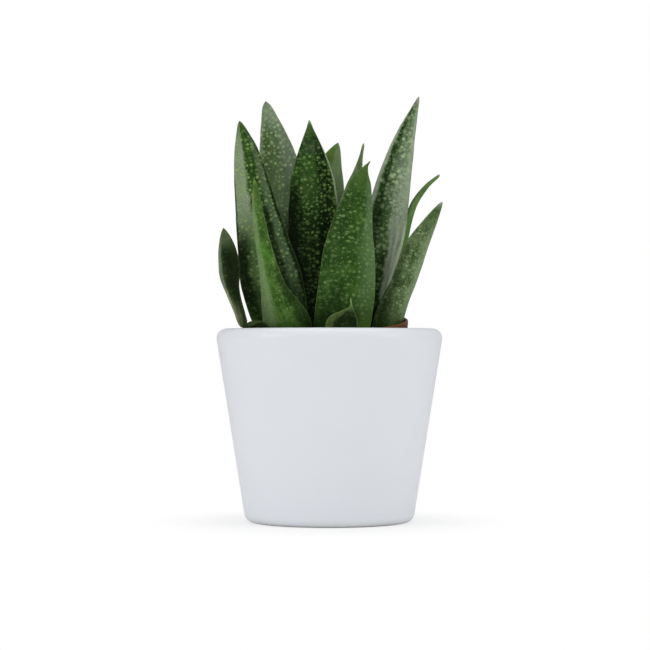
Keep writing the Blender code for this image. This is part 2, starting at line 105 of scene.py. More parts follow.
class Graph:
    """Adds nodes to one tree and joins them, with a value or a socket for any input."""

    def __init__(self, tree: NodeTree) -> None:
        """Keeps the tree."""
        self.tree = tree

    def feed(self, socket: Socket, value: object) -> None:
        """Links a socket to the input, or sets the input's own value.

        Args:
            socket: the input to feed.
            value: an output socket, or a value that the input takes.
        """
        if isinstance(value, Socket):
            self.tree.links.new(value, socket)
        else:
            socket.default_value = value

    def node(self, kind: str, inputs: Inputs = (), **settings: object) -> Node:
        """Adds a node.

        Args:
            kind: the node type's name.
            inputs: values or sockets, in the inputs' order or by their names or numbers.
            **settings: the node's own options.

        Returns:
            The new node.
        """
        made = self.tree.nodes.new(kind)
        for name, value in settings.items():
            setattr(made, name, value)
        for name, value in inputs.items() if isinstance(inputs, dict) else enumerate(inputs):
            self.feed(made.inputs[name], value)
        return made

    def out(
        self, kind: str, inputs: Inputs = (), output: int | str = 0, **settings: object
    ) -> Socket:
        """An output of a new node whose type's name starts with ShaderNode."""
        return self.node("ShaderNode" + kind, inputs, **settings).outputs[output]

    def math(self, operation: str, *values: object) -> Socket:
        """The result of one sum, such as DIVIDE, on one value or two."""
        return self.out("Math", values, operation=operation)

    def plus(self, *values: object) -> Socket:
        """The values added up."""
        return reduce(lambda one, other: self.math("ADD", one, other), values)

    def times(self, *values: object) -> Socket:
        """The values multiplied."""
        return reduce(lambda one, other: self.math("MULTIPLY", one, other), values)

    def vector(self, operation: str, *values: object) -> Socket:
        """The result of one vector sum, such as SUBTRACT, on two values or three."""
        return self.out("VectorMath", values, operation=operation)

    def ramp(
        self, value: object, low: object, high: object, start: object = 0.0, end: object = 1.0
    ) -> Socket:
        """A smooth change from start to end while the value goes from low to high."""
        given = (value, low, high, start, end)
        return self.out("MapRange", given, interpolation_type="SMOOTHSTEP")

    def noise(
        self, place: object, scale: object, detail: float = 2.0, roughness: float = 0.5
    ) -> Socket:
        """Clouds from 0 to 1, of which scale fit in one unit of the place."""
        given = {"Vector": place, "Scale": scale, "Detail": detail, "Roughness": roughness}
        return self.out("TexNoise", given, "Fac")

    def parts(self, place: object) -> list[Socket]:
        """The three numbers of a coordinate or colour, each as a socket."""
        return list(self.node("ShaderNodeSeparateXYZ", (place,)).outputs)

    def use(self, group: NodeTree, inputs: Inputs) -> Socket:
        """Places a node group and returns its output's socket."""
        return self.out("Group", inputs, node_tree=group)

    def close(self, value: Socket) -> NodeTree:
        """Makes the value the output of this node group, and returns the group."""
        self.node("NodeGroupOutput", (value,))
        return self.tree


def new_group(name: str, kind: str, inputs: dict, output: str) -> tuple[Graph, list[Socket]]:
    """Starts a node group with one output.

    Args:
        name: the group's name.
        kind: Shader or Geometry.
        inputs: by name, a default value, or the kind of socket where it has none.
        output: its output's name, a plain value in a shader group.

    Returns:
        The graph and the sockets of the inputs, in their order.
    """
    tree = bpy.data.node_groups.new(name, kind + "NodeTree")
    kinds = {float: "Float", int: "Int", tuple: "Vector"}
    for label, value in inputs.items():
        sort = f"NodeSocket{kinds.get(type(value), value)}"
        made = tree.interface.new_socket(name=label, in_out="INPUT", socket_type=sort)
        if type(value) in kinds:
            made.default_value = value
    sort = "NodeSocketFloat" if kind == "Shader" else "NodeSocketGeometry"
    tree.interface.new_socket(name=output, in_out="OUTPUT", socket_type=sort)
    graph = Graph(tree)
    return graph, list(graph.node("NodeGroupInput").outputs)[:len(inputs)]


@cache
def spot_effect() -> NodeTree:
    """Scattered round flecks, some missing, of uneven size and slightly ragged outline.

    Returns:
        A group whose output is 1 on a fleck. Its place is in millimetres.
    """
    graph, (place, spacing, stretch, radius, share, wobble, seed) = new_group("Flecks", "Shader", {
        "Place": (0.0, 0.0, 0.0), "Spacing": 2.0, "Stretch": 1.0, "Radius": 0.28, "Share": 0.8,
        "Wobble": 0.5, "Seed": 0.0,
    }, "Mask")
    cloud = graph.out("TexNoise", {"Vector": place, "Scale": 0.55}, "Color")
    push = graph.vector("SUBTRACT", cloud, (0.5, 0.5, 0.5))
    across, along, _ = graph.parts(graph.vector("MULTIPLY_ADD", push, wobble, place))
    column = graph.plus(graph.math("DIVIDE", graph.times(across, stretch), spacing), seed)
    cell = graph.out("CombineXYZ", (column, graph.math("DIVIDE", along, spacing), 0.0))
    flecks = graph.node(
        "ShaderNodeTexVoronoi", {"Vector": cell, "Scale": 1.0, "Randomness": 0.88},
        voronoi_dimensions="2D", feature="F1",
    )
    big, kept, bright = graph.parts(flecks.outputs["Color"])
    reach = graph.times(radius, graph.ramp(big, 0.0, 1.0, 0.6, 1.35))
    core, rim = graph.times(reach, 0.35), graph.times(reach, 1.45)
    mask = graph.ramp(flecks.outputs["Distance"], core, rim, 1.0, 0.0)
    strength = graph.ramp(bright, 0.0, 0.9, 0.35, 1.0)
    return graph.close(graph.times(mask, graph.math("LESS_THAN", kept, share), strength))


@cache
def streak_effect() -> NodeTree:
    """A soft stripe that runs along a leaf.

    Returns:
        A group whose output is 1 on the stripe. Its place is (across -1 to 1, along 0 to 1, side).
    """
    given = new_group("Streak", "Shader", {
        "Place": (0.0, 0.0, 0.0), "Centre": 0.0, "Half Width": 0.3, "Low": 0.0, "High": 1.0,
        "Slant": 0.0, "Softness": 0.4, "Fade": 0.1, "Drift": 0.0,
    }, "Mask")
    graph, (place, centre, half, low, high, slant, soft, fade, drift) = given
    across, along, _ = graph.parts(place)
    centre = graph.plus(centre, graph.times(along, slant), graph.times(drift, half))
    away = graph.math("ABSOLUTE", graph.math("SUBTRACT", across, centre))
    core = graph.times(half, graph.math("SUBTRACT", 1.0, soft))
    stripe = graph.ramp(away, core, graph.times(half, graph.plus(1.0, soft)), 1.0, 0.0)
    rise, fall = (
        graph.ramp(along, graph.math("SUBTRACT", end, fade), graph.plus(end, fade), *levels)
        for end, levels in ((low, (0.0, 1.0)), (high, (1.0, 0.0)))
    )
    return graph.close(graph.times(stripe, rise, fall))


@cache
def grain_effect() -> NodeTree:
    """Fine grain drawn out along one axis, as of skin cells, fibres or moulding marks.

    Returns:
        A group whose output is cloudy, 0 to 1.
    """
    inputs = {"Place": (0.0, 0.0, 0.0), "Fineness": 4.0, "Draw": 0.3}
    graph, (place, fineness, draw) = new_group("Grain", "Shader", inputs, "Value")
    across, along, depth = graph.parts(place)
    drawn = graph.out("CombineXYZ", (across, graph.times(along, draw), depth))
    return graph.close(graph.noise(drawn, fineness, 3.0, 0.65))


class Coat(Graph):
    """A new material's graph, with its shader and the colour that has been laid so far."""

    def __init__(self, name: str, ground: Tone) -> None:
        """Starts the material.

        Args:
            name: its name.
            ground: the colour under all others.
        """
        self.material = bpy.data.materials.new(name)
        self.material.use_nodes = True
        super().__init__(self.material.node_tree)
        self.shader = self.tree.nodes["Principled BSDF"]
        self.colour = shade(ground)

    def own_place(self) -> Socket:
        """The piece's own coordinates."""
        return self.out("TexCoord", (), "Object")

    def over(self, share: object, tone: Tone) -> None:
        """Lays one more colour over what is there, as far as its share, 0 to 1."""
        given = {0: share, 6: self.colour, 7: shade(tone)}
        self.colour = self.out("Mix", given, 2, data_type="RGBA")

    def lay(self, roughness: object, specular: float, *bump: object) -> Material:
        """Feeds the shader.

        Args:
            roughness: a value or socket, 0 to 1.
            specular: how strongly it reflects, 0 to 1.
            *bump: a height from 0 to 1, how far a height of 1 stands out in millimetres, and how
                much of that shows; or nothing.

        Returns:
            The material.
        """
        given = {"Base Color": self.colour, "Roughness": roughness, "Specular IOR Level": specular}
        if bump:
            height, depth, share = bump
            bumps = {"Height": height, "Distance": depth * MM, "Strength": share}
            given["Normal"] = self.out("Bump", bumps)
        for name, value in given.items():
            self.feed(self.shader.inputs[name], value)
        return self.material


# Finishes


@dataclass(frozen=True)
class Streak:
    """A stripe of another colour along a leaf: across runs from -1 to 1 and along from 0 to 1."""

    # streaks carry real marks and grey wax, and also painted sheen, highlights and shade
    tone: Tone
    share: float
    centre: float
    half: float
    low: float = -0.3
    high: float = 1.3
    slant: float = 0.0
    soft: float = 0.45
    fade: float = 0.1
    broken: float = 0.5
    fibrous: bool = False


class LeafCoat(Coat):
    """A leaf's coat, which reads the leaf's attributes blade_mm and blade_place."""

    def __init__(self, name: str, ground: Tone, seed: float) -> None:
        """Starts the material.

        Args:
            name: its name.
            ground: the colour under all others.
            seed: shifts the pattern, so that no two leaves carry the same one.
        """
        super().__init__(name, ground)
        self.seed = seed
        skin, self.at = (
            self.out("Attribute", (), "Vector", attribute_name=label, attribute_type="GEOMETRY")
            for label in ("blade_mm", "blade_place")
        )
        shift = (seed * 7.3, seed * 3.1, seed)
        self.place = self.vector("MULTIPLY_ADD", skin, (1.0, 1.0, 0.0), shift)
        self.edge, self.along = self.parts(skin)[2], self.parts(self.at)[1]
        self.grain = self.use(grain_effect(), (self.place, 3.2, 0.55))
        self.fibres = self.use(grain_effect(), (self.place, 1.6, 0.07))


@dataclass(frozen=True)
class LeafFinish:
    """Gasteria skin: dark green, flecked, pale horny edge, streaks of grey wax, painted sheen and
    shade.
    """

    deep: Tone = (32, 58, 22)
    light: Tone = (50, 82, 34)
    fleck: Tone = (118, 146, 84)
    # streaks lie under the flecks and veils over them; besides real marks and grey wax they hold
    # painted sheen, highlights and shade
    streaks: tuple[Streak, ...] = ()
    veils: tuple[Streak, ...] = ()
    mottle: float = 0.5
    spacing: float = 1.6
    stretch: float = 0.95
    radius: float = 0.26
    share: float = 0.85
    dashed: float = 0.25
    contrast: float = 0.85
    fine: float = 0.4
    edge: Tone = (132, 150, 106)
    edge_width: float = 0.22
    edge_share: float = 0.25
    # root: a dull olive foot, darkened partly as painted shade where the leaves crowd together
    root: Tone = (38, 52, 18)
    root_height: float = 0.12
    tip: Tone = (84, 88, 52)
    tip_length: float = 0.015
    bare: float = 0.9
    specular: float = 0.035
    relief: float = 0.07

    def material(self, name: str, seed: float) -> Material:
        """The leaf's own material.

        Args:
            name: its name.
            seed: shifts the pattern, so that no two leaves carry the same one.

        Returns:
            The material.
        """
        coat = LeafCoat(name, self.deep, seed)
        self.ground(coat)
        self.lay_marks_painted_sheen_and_shade(coat, self.streaks)
        raised = self.flecked(coat)
        self.lay_marks_painted_sheen_and_shade(coat, self.veils)
        self.ends(coat)
        roughness = coat.ramp(coat.grain, 0.2, 0.8, 0.42, 0.56)
        height = coat.plus(coat.times(coat.grain, 0.5), raised)
        return coat.lay(roughness, self.specular, height, self.relief, 0.7)

    def ground(self, coat: LeafCoat) -> None:
        """Lays the green under the markings: cloudy, mottled and faintly fibrous.

        Args:
            coat: the leaf's coat.
        """
        coat.over(coat.ramp(coat.noise(coat.place, 0.16, 3.0), 0.3, 0.72), self.light)
        mottle = coat.noise(coat.vector("MULTIPLY", coat.place, (1.0, 0.6, 1.0)), 0.75, 3.0, 0.6)
        coat.over(coat.ramp(mottle, 0.48, 0.66, 0.0, self.mottle), self.light)
        coat.over(coat.ramp(mottle, 0.34, 0.5, self.mottle, 0.0), self.deep)
        coat.over(coat.ramp(coat.fibres, 0.35, 0.75, 0.0, 0.25), self.light)

    def lay_marks_painted_sheen_and_shade(self, coat: LeafCoat, streaks: tuple[Streak, ...]) -> None:
        """Lays streaks of other tones along the leaf, each broken up by grain or by fibres.

        Args:
            coat: the leaf's coat.
            streaks: the streaks, from the lowest up.
        """
        # the streaks lay real marks and grey wax, and also painted sheen, highlights and shade
        drift = coat.ramp(coat.noise(coat.place, 0.22), 0.25, 0.75, -0.2, 0.2)
        for it in streaks:
            mask = coat.use(streak_effect(), (
                coat.at, it.centre, it.half, it.low, it.high, it.slant, it.soft, it.fade, drift,
            ))
            texture = coat.fibres if it.fibrous else coat.grain
            grit = coat.ramp(texture, 0.36, 0.64, it.share * (1.0 - it.broken), it.share)
            coat.over(coat.times(mask, grit), it.tone)

    def flecked(self, coat: LeafCoat) -> Socket:
        """Lays the pale flecks, which stand a little proud and gather into cross rows.

        Args:
            coat: the leaf's coat.

        Returns:
            How far they are raised, 0 to 1.
        """
        rows = coat.noise(coat.vector("MULTIPLY", coat.place, (0.2, 0.62, 1.0)), 1.0, 1.0)
        gathered = coat.ramp(rows, 0.36, 0.6, 0.6, 1.0)
        upper = coat.ramp(coat.along, self.bare - 0.12, self.bare + 0.06, 1.0, 0.15)
        shown = coat.times(upper, coat.ramp(coat.along, 0.02, 0.3, 0.3, 1.0), gathered)
        flecks, dashes, specks = (
            coat.use(spot_effect(), (
                coat.place, self.spacing * spacing, self.stretch * stretch, self.radius * radius,
                share, wobble, coat.seed + shift,
            ))
            for spacing, stretch, radius, share, wobble, shift in (
                (1.0, 1.0, 1.0, self.share, 0.5, 0.0),
                (1.1, 0.6, 0.8, self.dashed, 0.6, 17.0),
                (0.5, 1.0, 0.9, self.share * 0.6, 0.6, 41.0),
            )
        )
        raised = coat.times(coat.math("MAXIMUM", flecks, dashes), shown)
        coat.over(coat.times(specks, shown, self.fine), self.fleck)
        coat.over(coat.times(raised, self.contrast), self.fleck)
        return raised

    def ends(self, coat: LeafCoat) -> None:
        """Lays the dull root, the dry point and the horny edge.

        Args:
            coat: the leaf's coat.
        """
        # the dull olive root, darkened partly as painted shade between the leaves
        coat.over(coat.ramp(coat.along, 0.0, self.root_height, 0.85, 0.0), self.root)
        coat.over(coat.ramp(coat.along, 1.0 - self.tip_length, 1.0, 0.0, 0.9), self.tip)
        rim = coat.ramp(coat.edge, self.edge_width * 0.4, self.edge_width * 1.5, 1.0, 0.0)
        worn = coat.ramp(coat.fibres, 0.3, 0.7, self.edge_share * 0.5, self.edge_share)
        coat.over(coat.times(rim, worn), self.edge)


# a near-black green laid as painted shade
PAINTED_SHADE_TONE = (6, 17, 3)

LOOKS = {
    "leaf_left_low": LeafFinish(
        (24, 36, 12), (46, 62, 28), (96, 112, 70), spacing=1.4, radius=0.2, share=0.6, contrast=0.4,
        edge_share=0.08,
        streaks=(
            Streak((124, 138, 110), 0.9, -0.85, 0.42, 0.45, 0.98),
            Streak((92, 106, 76), 0.7, 0, 1.3, 0.87, 1.3, fade=0.05),
            # painted highlight low on the left flank
            Streak((150, 156, 122), 0.85, -0.75, 0.35, 0.46, 0.58, fade=0.05),
            Streak((144, 136, 92), 0.85, -0.5, 0.3, 0.28, 0.46, fade=0.05),
            Streak((60, 44, 24), 0.7, -0.95, 0.2, 0.36, 0.43, fade=0.03),
            Streak((104, 116, 84), 0.8, 0.1, 0.5, 0.36, 0.5, fade=0.05),
        ),
        # painted shade on the right side, where leaf_left_tall meets it
        veils=(Streak(PAINTED_SHADE_TONE, 0.9, 0.6, 0.6, 0.42, 0.86, soft=0.3, broken=0.3),),
    ),
    "leaf_left_tall": LeafFinish(
        (18, 42, 9), (58, 90, 36), (142, 172, 102), spacing=1.5, stretch=0.85, share=0.9, bare=0.98,
        streaks=(
            # the pale left flank and the grey right band: grey wax with painted sheen
            Streak((152, 168, 136), 0.97, 0.4, 0.36, 0.53, 0.97, slant=0.3, soft=0.3, fade=0.13),
            Streak((92, 110, 86), 0.7, -0.68, 0.18, 0.22, 0.94, soft=0.3),
            Streak((92, 108, 74), 0.6, 0, 1.3, 0.97, 1.3, fade=0.03),
            Streak((104, 134, 84), 0.75, 0.36, 0.22, 0.12, 0.55, soft=0.5),
        ),
        # painted shade where leaf_left_low meets it, along both edges, in the fold and at the foot;
        # the last veil is the olive foot
        veils=(
            Streak(PAINTED_SHADE_TONE, 0.95, 1, 0.48, 0.16, 0.5, soft=0.6, fade=0.07, broken=0.15),
            Streak((14, 30, 8), 0.85, 1.02, 0.09, 0.4, 0.82, broken=0.2),
            Streak(PAINTED_SHADE_TONE, 0.8, -0.4, 0.17, 0.2, 0.66, soft=0.5, broken=0.3),
            Streak(PAINTED_SHADE_TONE, 0.8, -0.93, 0.07, 0.2, 0.85, broken=0.2),
            Streak(PAINTED_SHADE_TONE, 0.7, -0.25, 0.75, -0.3, 0.24, fade=0.12, broken=0.3),
            Streak((70, 74, 38), 0.5, -0.6, 0.5, -0.3, 0.12, fade=0.05),
        ),
    ),
    "leaf_left_front": LeafFinish(
        (40, 72, 20), (76, 110, 48), (128, 156, 90), spacing=1.2, radius=0.26, share=0.75,
        contrast=0.5, fine=0.6, mottle=0.75, tip=(112, 140, 62), tip_length=0.05,
        streaks=(
            # pale grey-green left flank, partly painted light from the left
            Streak((126, 150, 104), 0.8, -0.75, 0.5, 0.02, 0.86, soft=0.35, fade=0.1),
            Streak((152, 132, 86), 0.6, -0.9, 0.4, 0.87, 0.94, fade=0.03),
            Streak((52, 84, 32), 0.7, 0.9, 0.8, 0.88, 1.3, fade=0.04),
            Streak((26, 56, 12), 0.75, 0.3, 0.3, 0.64, 0.72, fade=0.04),
            # bright green patch with a painted highlight beside the scar
            Streak((84, 132, 48), 0.8, -0.1, 0.5, 0.57, 0.64, fade=0.04),
            Streak((66, 124, 30), 0.8, 0.35, 0.25, 0.53, 0.58, fade=0.04),
            Streak((150, 162, 88), 0.6, 0.7, 0.13, 0.5, 0.53, fade=0.02),
        ),
        # painted shade low on the right side and at the foot
        veils=(
            Streak((16, 34, 6), 0.8, 1, 0.4, -0.3, 0.48, fade=0.1, broken=0.3),
            Streak((30, 54, 12), 0.5, 0.3, 0.8, -0.3, 0.17, fade=0.05),
        ),
    ),
    "leaf_left_edge": LeafFinish((20, 42, 14), (32, 58, 22)),
    "leaf_left_back_tall": LeafFinish(
        (74, 96, 61), (109, 125, 98), (168, 196, 136), spacing=1.6, radius=0.27, share=0.92,
        dashed=0.1, contrast=0.78, fine=0.4, bare=1.02,
        streaks=(
            Streak((52, 72, 26), 0.9, 0.5, 0.26, 0.66, 0.95, fade=0.06),
            Streak((86, 104, 50), 0.5, 0.3, 0.2, 0.6, 0.9, fade=0.06),
            Streak((58, 80, 38), 0.6, 0.8, 0.3, 0.45, 0.72),
            # grey right part: grey wax with painted sheen
            Streak((126, 136, 120), 0.6, -0.7, 0.4, 0.6, 0.98),
            Streak((122, 136, 112), 0.6, 0.95, 0.14, 0.72, 1.3),
            Streak((134, 148, 124), 0.7, -0.1, 1.2, 0.9, 1.3, fade=0.04),
            # painted light lifting the lower middle out of the neighbours' shade
            Streak((112, 138, 98), 0.6, 0, 1.3, 0.5, 0.66),
            Streak((98, 126, 82), 0.6, 0.4, 0.5, 0.58, 0.76),
            Streak((56, 88, 30), 0.6, 0, 1.3, 0.35, 0.48),
        ),
        # painted shade at the foot and beside leaf_middle_tall
        veils=(
            Streak((16, 34, 8), 0.85, 0, 1.3, -0.3, 0.4, fade=0.11, broken=0.3),
            Streak((18, 38, 10), 0.7, -0.95, 0.45, 0.3, 0.5, broken=0.3),
        ),
    ),
    "leaf_middle_front": LeafFinish(
        (34, 61, 19), (60, 91, 36), (124, 154, 92), spacing=1.55, stretch=0.78, radius=0.25,
        share=0.8, contrast=0.58, fine=0.5, mottle=0.6, tip=(118, 112, 70), tip_length=0.03,
        bare=0.88, dashed=0.4,
        streaks=(
            # lighter right side: grey wax with painted light from the right
            Streak((98, 124, 86), 0.75, 0.9, 0.3, 0.3, 0.93),
            Streak((82, 110, 62), 0.6, 0.7, 0.35, 0, 0.6),
            Streak((24, 48, 13), 0.6, -0.6, 0.5, 0.5, 0.84, soft=0.6),
            Streak((84, 122, 38), 0.7, 0.7, 0.3, -0.3, 0.17, fade=0.05),
            Streak((84, 106, 52), 0.6, 0, 1.3, 0.87, 1.3, fade=0.07),
        ),
        # painted shadow of leaf_offset_back low on the leaf
        veils=(
            Streak((10, 28, 4), 0.85, -0.3, 0.75, -0.3, 0.22, fade=0.08, broken=0.3),
            Streak((16, 40, 8), 0.6, -0.32, 0.22, 0.2, 0.34, fade=0.06),
        ),
    ),
    "leaf_middle_tall": LeafFinish(
        (14, 37, 8), (43, 72, 25), (116, 150, 82), spacing=1.55, radius=0.29, share=0.88,
        contrast=0.74, fine=0.36, bare=0.94, mottle=0.7, tip=(140, 156, 96), tip_length=0.03,
        streaks=(
            # painted reflection: a grey sheen high on the leaf
            Streak((72, 90, 66), 0.55, 0, 0.6, 0.85, 0.9, fade=0.03),
            Streak((84, 108, 58), 0.7, 0, 1.3, 0.93, 1.3, fade=0.04),
            Streak((66, 94, 44), 0.6, 0.2, 0.4, 0.64, 0.8, soft=0.6),
            # painted shade on the lower half and the right side, among the neighbours
            Streak(PAINTED_SHADE_TONE, 0.8, 0.1, 1.2, -0.3, 0.6, fade=0.06, broken=0.4),
            Streak(PAINTED_SHADE_TONE, 0.85, -0.55, 0.3, 0.3, 0.9, broken=0.3),
        ),
        veils=(
            # painted shade at the foot and along the left side
            Streak(PAINTED_SHADE_TONE, 0.65, 0.1, 1.3, -0.3, 0.44, fade=0.18, broken=0.3),
            Streak(PAINTED_SHADE_TONE, 0.95, 0.95, 0.4, 0.2, 0.72, broken=0.1),
            # the pale right margin, with a painted highlight on it
            Streak((166, 182, 148), 0.9, -1, 0.07, 0.62, 0.97, fade=0.06),
            Streak((46, 42, 18), 0.65, 0.2, 1.3, -0.3, 0.09, fade=0.05),
        ),
    ),
    "leaf_middle_spike": LeafFinish(
        (74, 98, 54), (104, 122, 86), share=0.5, contrast=0.3, tip=(130, 132, 100), tip_length=0.04,
        streaks=(Streak((56, 78, 40), 0.6, -0.4, 0.4, 0.7, 0.88),),
    ),
    "leaf_middle_back": LeafFinish(
        (72, 102, 42), (98, 130, 66), (140, 168, 100), contrast=0.5, tip=(110, 84, 56),
        tip_length=0.012,
        streaks=(Streak((122, 138, 112), 0.8, -0.65, 0.5, 0.4, 1.2, fibrous=True),),
    ),
    "leaf_right_tall": LeafFinish(
        (28, 58, 13), (62, 94, 40), (172, 194, 148), spacing=1.75, radius=0.32, share=0.94,
        contrast=0.85, fine=0.4, bare=0.98, tip=(156, 162, 142), tip_length=0.05,
        streaks=(
            # grey wax with painted light on the right flank
            Streak((94, 112, 84), 0.88, -0.1, 0.52, 0.52, 1.3, slant=-0.1, fade=0.18),
            Streak((124, 140, 114), 0.8, -0.75, 0.42, 0.52, 1.3, fade=0.1),
            Streak((84, 118, 62), 0.6, 0.3, 0.45, 0.28, 0.5, soft=0.6),
            # silver ribbon and band on the right: grey wax with painted highlight
            Streak((150, 164, 138), 0.95, -1.33, 0.39, 0.15, 0.5, slant=1.6, soft=0.2, fade=0.05,
                   broken=0.4, fibrous=True),
            Streak((168, 182, 156), 0.92, -0.72, 0.46, 0.44, 0.68, slant=0.3, soft=0.35, fade=0.14,
                   broken=0.8),
        ),
        veils=(
            Streak((154, 164, 144), 0.95, 0.98, 0.2, 0.48, 1.1, broken=0.25),
            # painted shade in the fold left of the middle and low down
            Streak((12, 36, 6), 0.68, 0.55, 0.17, 0.5, 0.94, soft=0.5),
            Streak((10, 34, 4), 0.8, 0.5, 0.28, 0.34, 0.56, soft=0.5, fade=0.05, broken=0.3),
            Streak((16, 42, 6), 0.7, 0.4, 0.5, 0.1, 0.3, fade=0.1),
            # painted highlight: silver streaks on the right
            Streak((160, 174, 148), 0.75, -0.84, 0.17, 0.3, 0.95, soft=0.5, broken=0.5,
                   fibrous=True),
            Streak((176, 188, 164), 0.8, -0.84, 0.17, 0.16, 0.33, soft=0.4, fade=0.05, broken=0.4,
                   fibrous=True),
            # painted shade low down
            Streak((14, 36, 7), 0.5, -0.38, 0.3, 0.13, 0.31, soft=0.5, broken=0.3),
            # painted highlight: a bright line along the right edge, then fine pale and dark lines
            # streaking it
            Streak((204, 216, 188), 0.95, -0.97, 0.1, 0.2, 0.47, soft=0.3, fade=0.05, broken=0.25,
                   fibrous=True),
            Streak((204, 214, 192), 0.5, -1.08, 0.08, 0.2, 0.5, slant=1.6, soft=0.9, broken=0.9),
            Streak((58, 78, 42), 0.45, -1.17, 0.06, 0.22, 0.5, slant=1.55, soft=0.9, broken=0.9),
            Streak((214, 224, 202), 0.6, -1.3, 0.1, 0.18, 0.46, slant=1.6, soft=0.9, broken=0.7,
                   fibrous=True),
            Streak((84, 86, 70), 0.7, -1, 0.035, 0.55, 0.95, fade=0.06, broken=0.3),
            # painted shade at the foot
            Streak((12, 26, 5), 0.95, 0, 1.3, -0.3, 0.15, fade=0.04, broken=0.1),
        ),
    ),
    "leaf_right_low": LeafFinish(
        (50, 72, 32), (100, 120, 80), (150, 174, 124), spacing=1.15, radius=0.29, share=0.75,
        contrast=0.6, fine=0.6, mottle=0.8, bare=0.84, tip=(146, 152, 126), tip_length=0.05,
        streaks=(
            Streak((142, 164, 124), 0.66, 0.42, 0.48, 0.2, 0.8, soft=0.6, broken=0.8),
            Streak((66, 80, 52), 0.6, -0.6, 0.5, 0.74, 0.84, fade=0.05),
        ),
        veils=(
            # painted shade along the left edge and low on the left side
            Streak((18, 36, 6), 0.75, -1, 0.3, -0.3, 0.66, broken=0.4),
            Streak((16, 34, 6), 0.8, -0.8, 0.4, -0.3, 0.28, fade=0.08),
            Streak((40, 66, 14), 0.85, 0, 1.3, -0.3, 0.16, fade=0.08),
        ),
    ),
    "leaf_right_curved": LeafFinish(
        (74, 105, 48), (98, 127, 72), share=0.3, contrast=0.2, tip=(118, 136, 94),
        streaks=(Streak((116, 140, 94), 0.6, 0.7, 0.5, 0.5, 1.2),),
    ),
    "leaf_offset_back": LeafFinish(
        (26, 42, 16), (44, 62, 30), share=0.3, contrast=0.2, edge=(96, 128, 78), edge_width=0.3,
        edge_share=0.9, tip=(150, 176, 110), tip_length=0.29,
        streaks=(Streak((96, 112, 62), 0.85, 0.82, 0.26, 0.3, 0.9, broken=0.4),),
        veils=(Streak((22, 36, 12), 0.6, -0.5, 0.25, -0.3, 0.7),),
    ),
}


@dataclass(frozen=True)
class CeramicFinish:
    """White satin glaze, a little cloudy, and bare and rougher on the ring that it stands on."""

    glaze: Tone = (223.28, 225.27, 229.19)
    cloud: Tone = (222.21, 224.21, 228.28)
    biscuit: Tone = (206.41, 203.42, 197.26)

    def material(self) -> Material:
        """The glaze, in the piece's own coordinates.

        Returns:
            The material.
        """
        coat = Coat("white_glaze", self.glaze)
        place = coat.own_place()
        coat.over(coat.ramp(coat.noise(place, 55.0), 0.35, 0.7), self.cloud)
        bare = coat.ramp(coat.parts(place)[2], 0.1 * MM, 0.5 * MM, 1.0, 0.0)
        coat.over(bare, self.biscuit)
        satin = coat.ramp(coat.noise(place, 240.0, 3.0), 0.3, 0.7, 0.36, 0.44)
        roughness = coat.math("MAXIMUM", satin, bare)
        return coat.lay(roughness, 0.4, coat.noise(place, 420.0, 4.0), 0.02, 0.35)


@dataclass(frozen=True)
class PlasticFinish:
    """Terracotta-coloured moulded plastic, scuffed, with dried soil and lime near its rim."""

    body: Tone = (94, 52, 14)
    worn: Tone = (112, 70, 26)
    soiled: Tone = (54, 36, 12)
    lime: Tone = (140, 116, 78)

    def material(self, tilt: Matrix) -> Material:
        """The plastic, in the pot's own tilted coordinates.

        Args:
            tilt: the nursery pot's frame, with its origin at the rim's centre.

        Returns:
            The material.
        """
        coat = Coat("terracotta_plastic", self.body)
        place = coat.own_place()
        own = coat.out("CombineXYZ", [
            coat.plus(coat.out("VectorMath", (place, tuple(row[:3])), "Value",
                               operation="DOT_PRODUCT"), row[3])
            for row in list(tilt.inverted())[:3]
        ])
        height = coat.parts(own)[2]
        patches = coat.ramp(coat.noise(own, 120.0, 4.0, 0.6), 0.52, 0.72)
        coat.over(coat.times(patches, 0.6), self.worn)
        low = coat.ramp(height, -8.0 * MM, -1.0 * MM, 0.9, 0.12)
        dirt = coat.times(low, coat.ramp(coat.noise(own, 260.0, 5.0, 0.7), 0.42, 0.66))
        coat.over(dirt, self.soiled)
        crust = coat.ramp(coat.noise(own, 480.0, 4.0, 0.7), 0.58, 0.74)
        coat.over(coat.times(coat.ramp(height, -5.0 * MM, -1.5 * MM, 0.6, 0.0), crust), self.lime)
        mould = coat.use(grain_effect(), (own, 900.0, 0.2))
        roughness = coat.ramp(patches, 0.0, 1.0, 0.42, 0.62)
        return coat.lay(roughness, 0.15, coat.plus(mould, dirt), 0.05, 0.4)


@dataclass(frozen=True)
class EarthFinish:
    """Rough matter that grows or lies in the pot: peat, perlite, fibre, crown skin."""

    dark: Tone
    light: Tone
    clouds: float = 900.0
    roughness: float = 0.95
    relief: float = 0.25

    def material(self, name: str) -> Material:
        """The material, in the piece's own coordinates.

        Args:
            name: its name.

        Returns:
            The material.
        """
        coat = Coat(name, self.dark)
        place = coat.own_place()
        broad = coat.ramp(coat.noise(place, self.clouds, 4.0, 0.6), 0.3, 0.72)
        grain = coat.use(grain_effect(), (place, self.clouds * 3, 1.0))
        coat.over(broad, self.light)
        coat.over(coat.ramp(grain, 0.55, 0.8, 0.0, 0.5), self.light)
        roughness = coat.ramp(grain, 0.2, 0.8, self.roughness, self.roughness * 0.86)
        return coat.lay(roughness, 0.25, coat.plus(broad, grain), self.relief, 0.8)


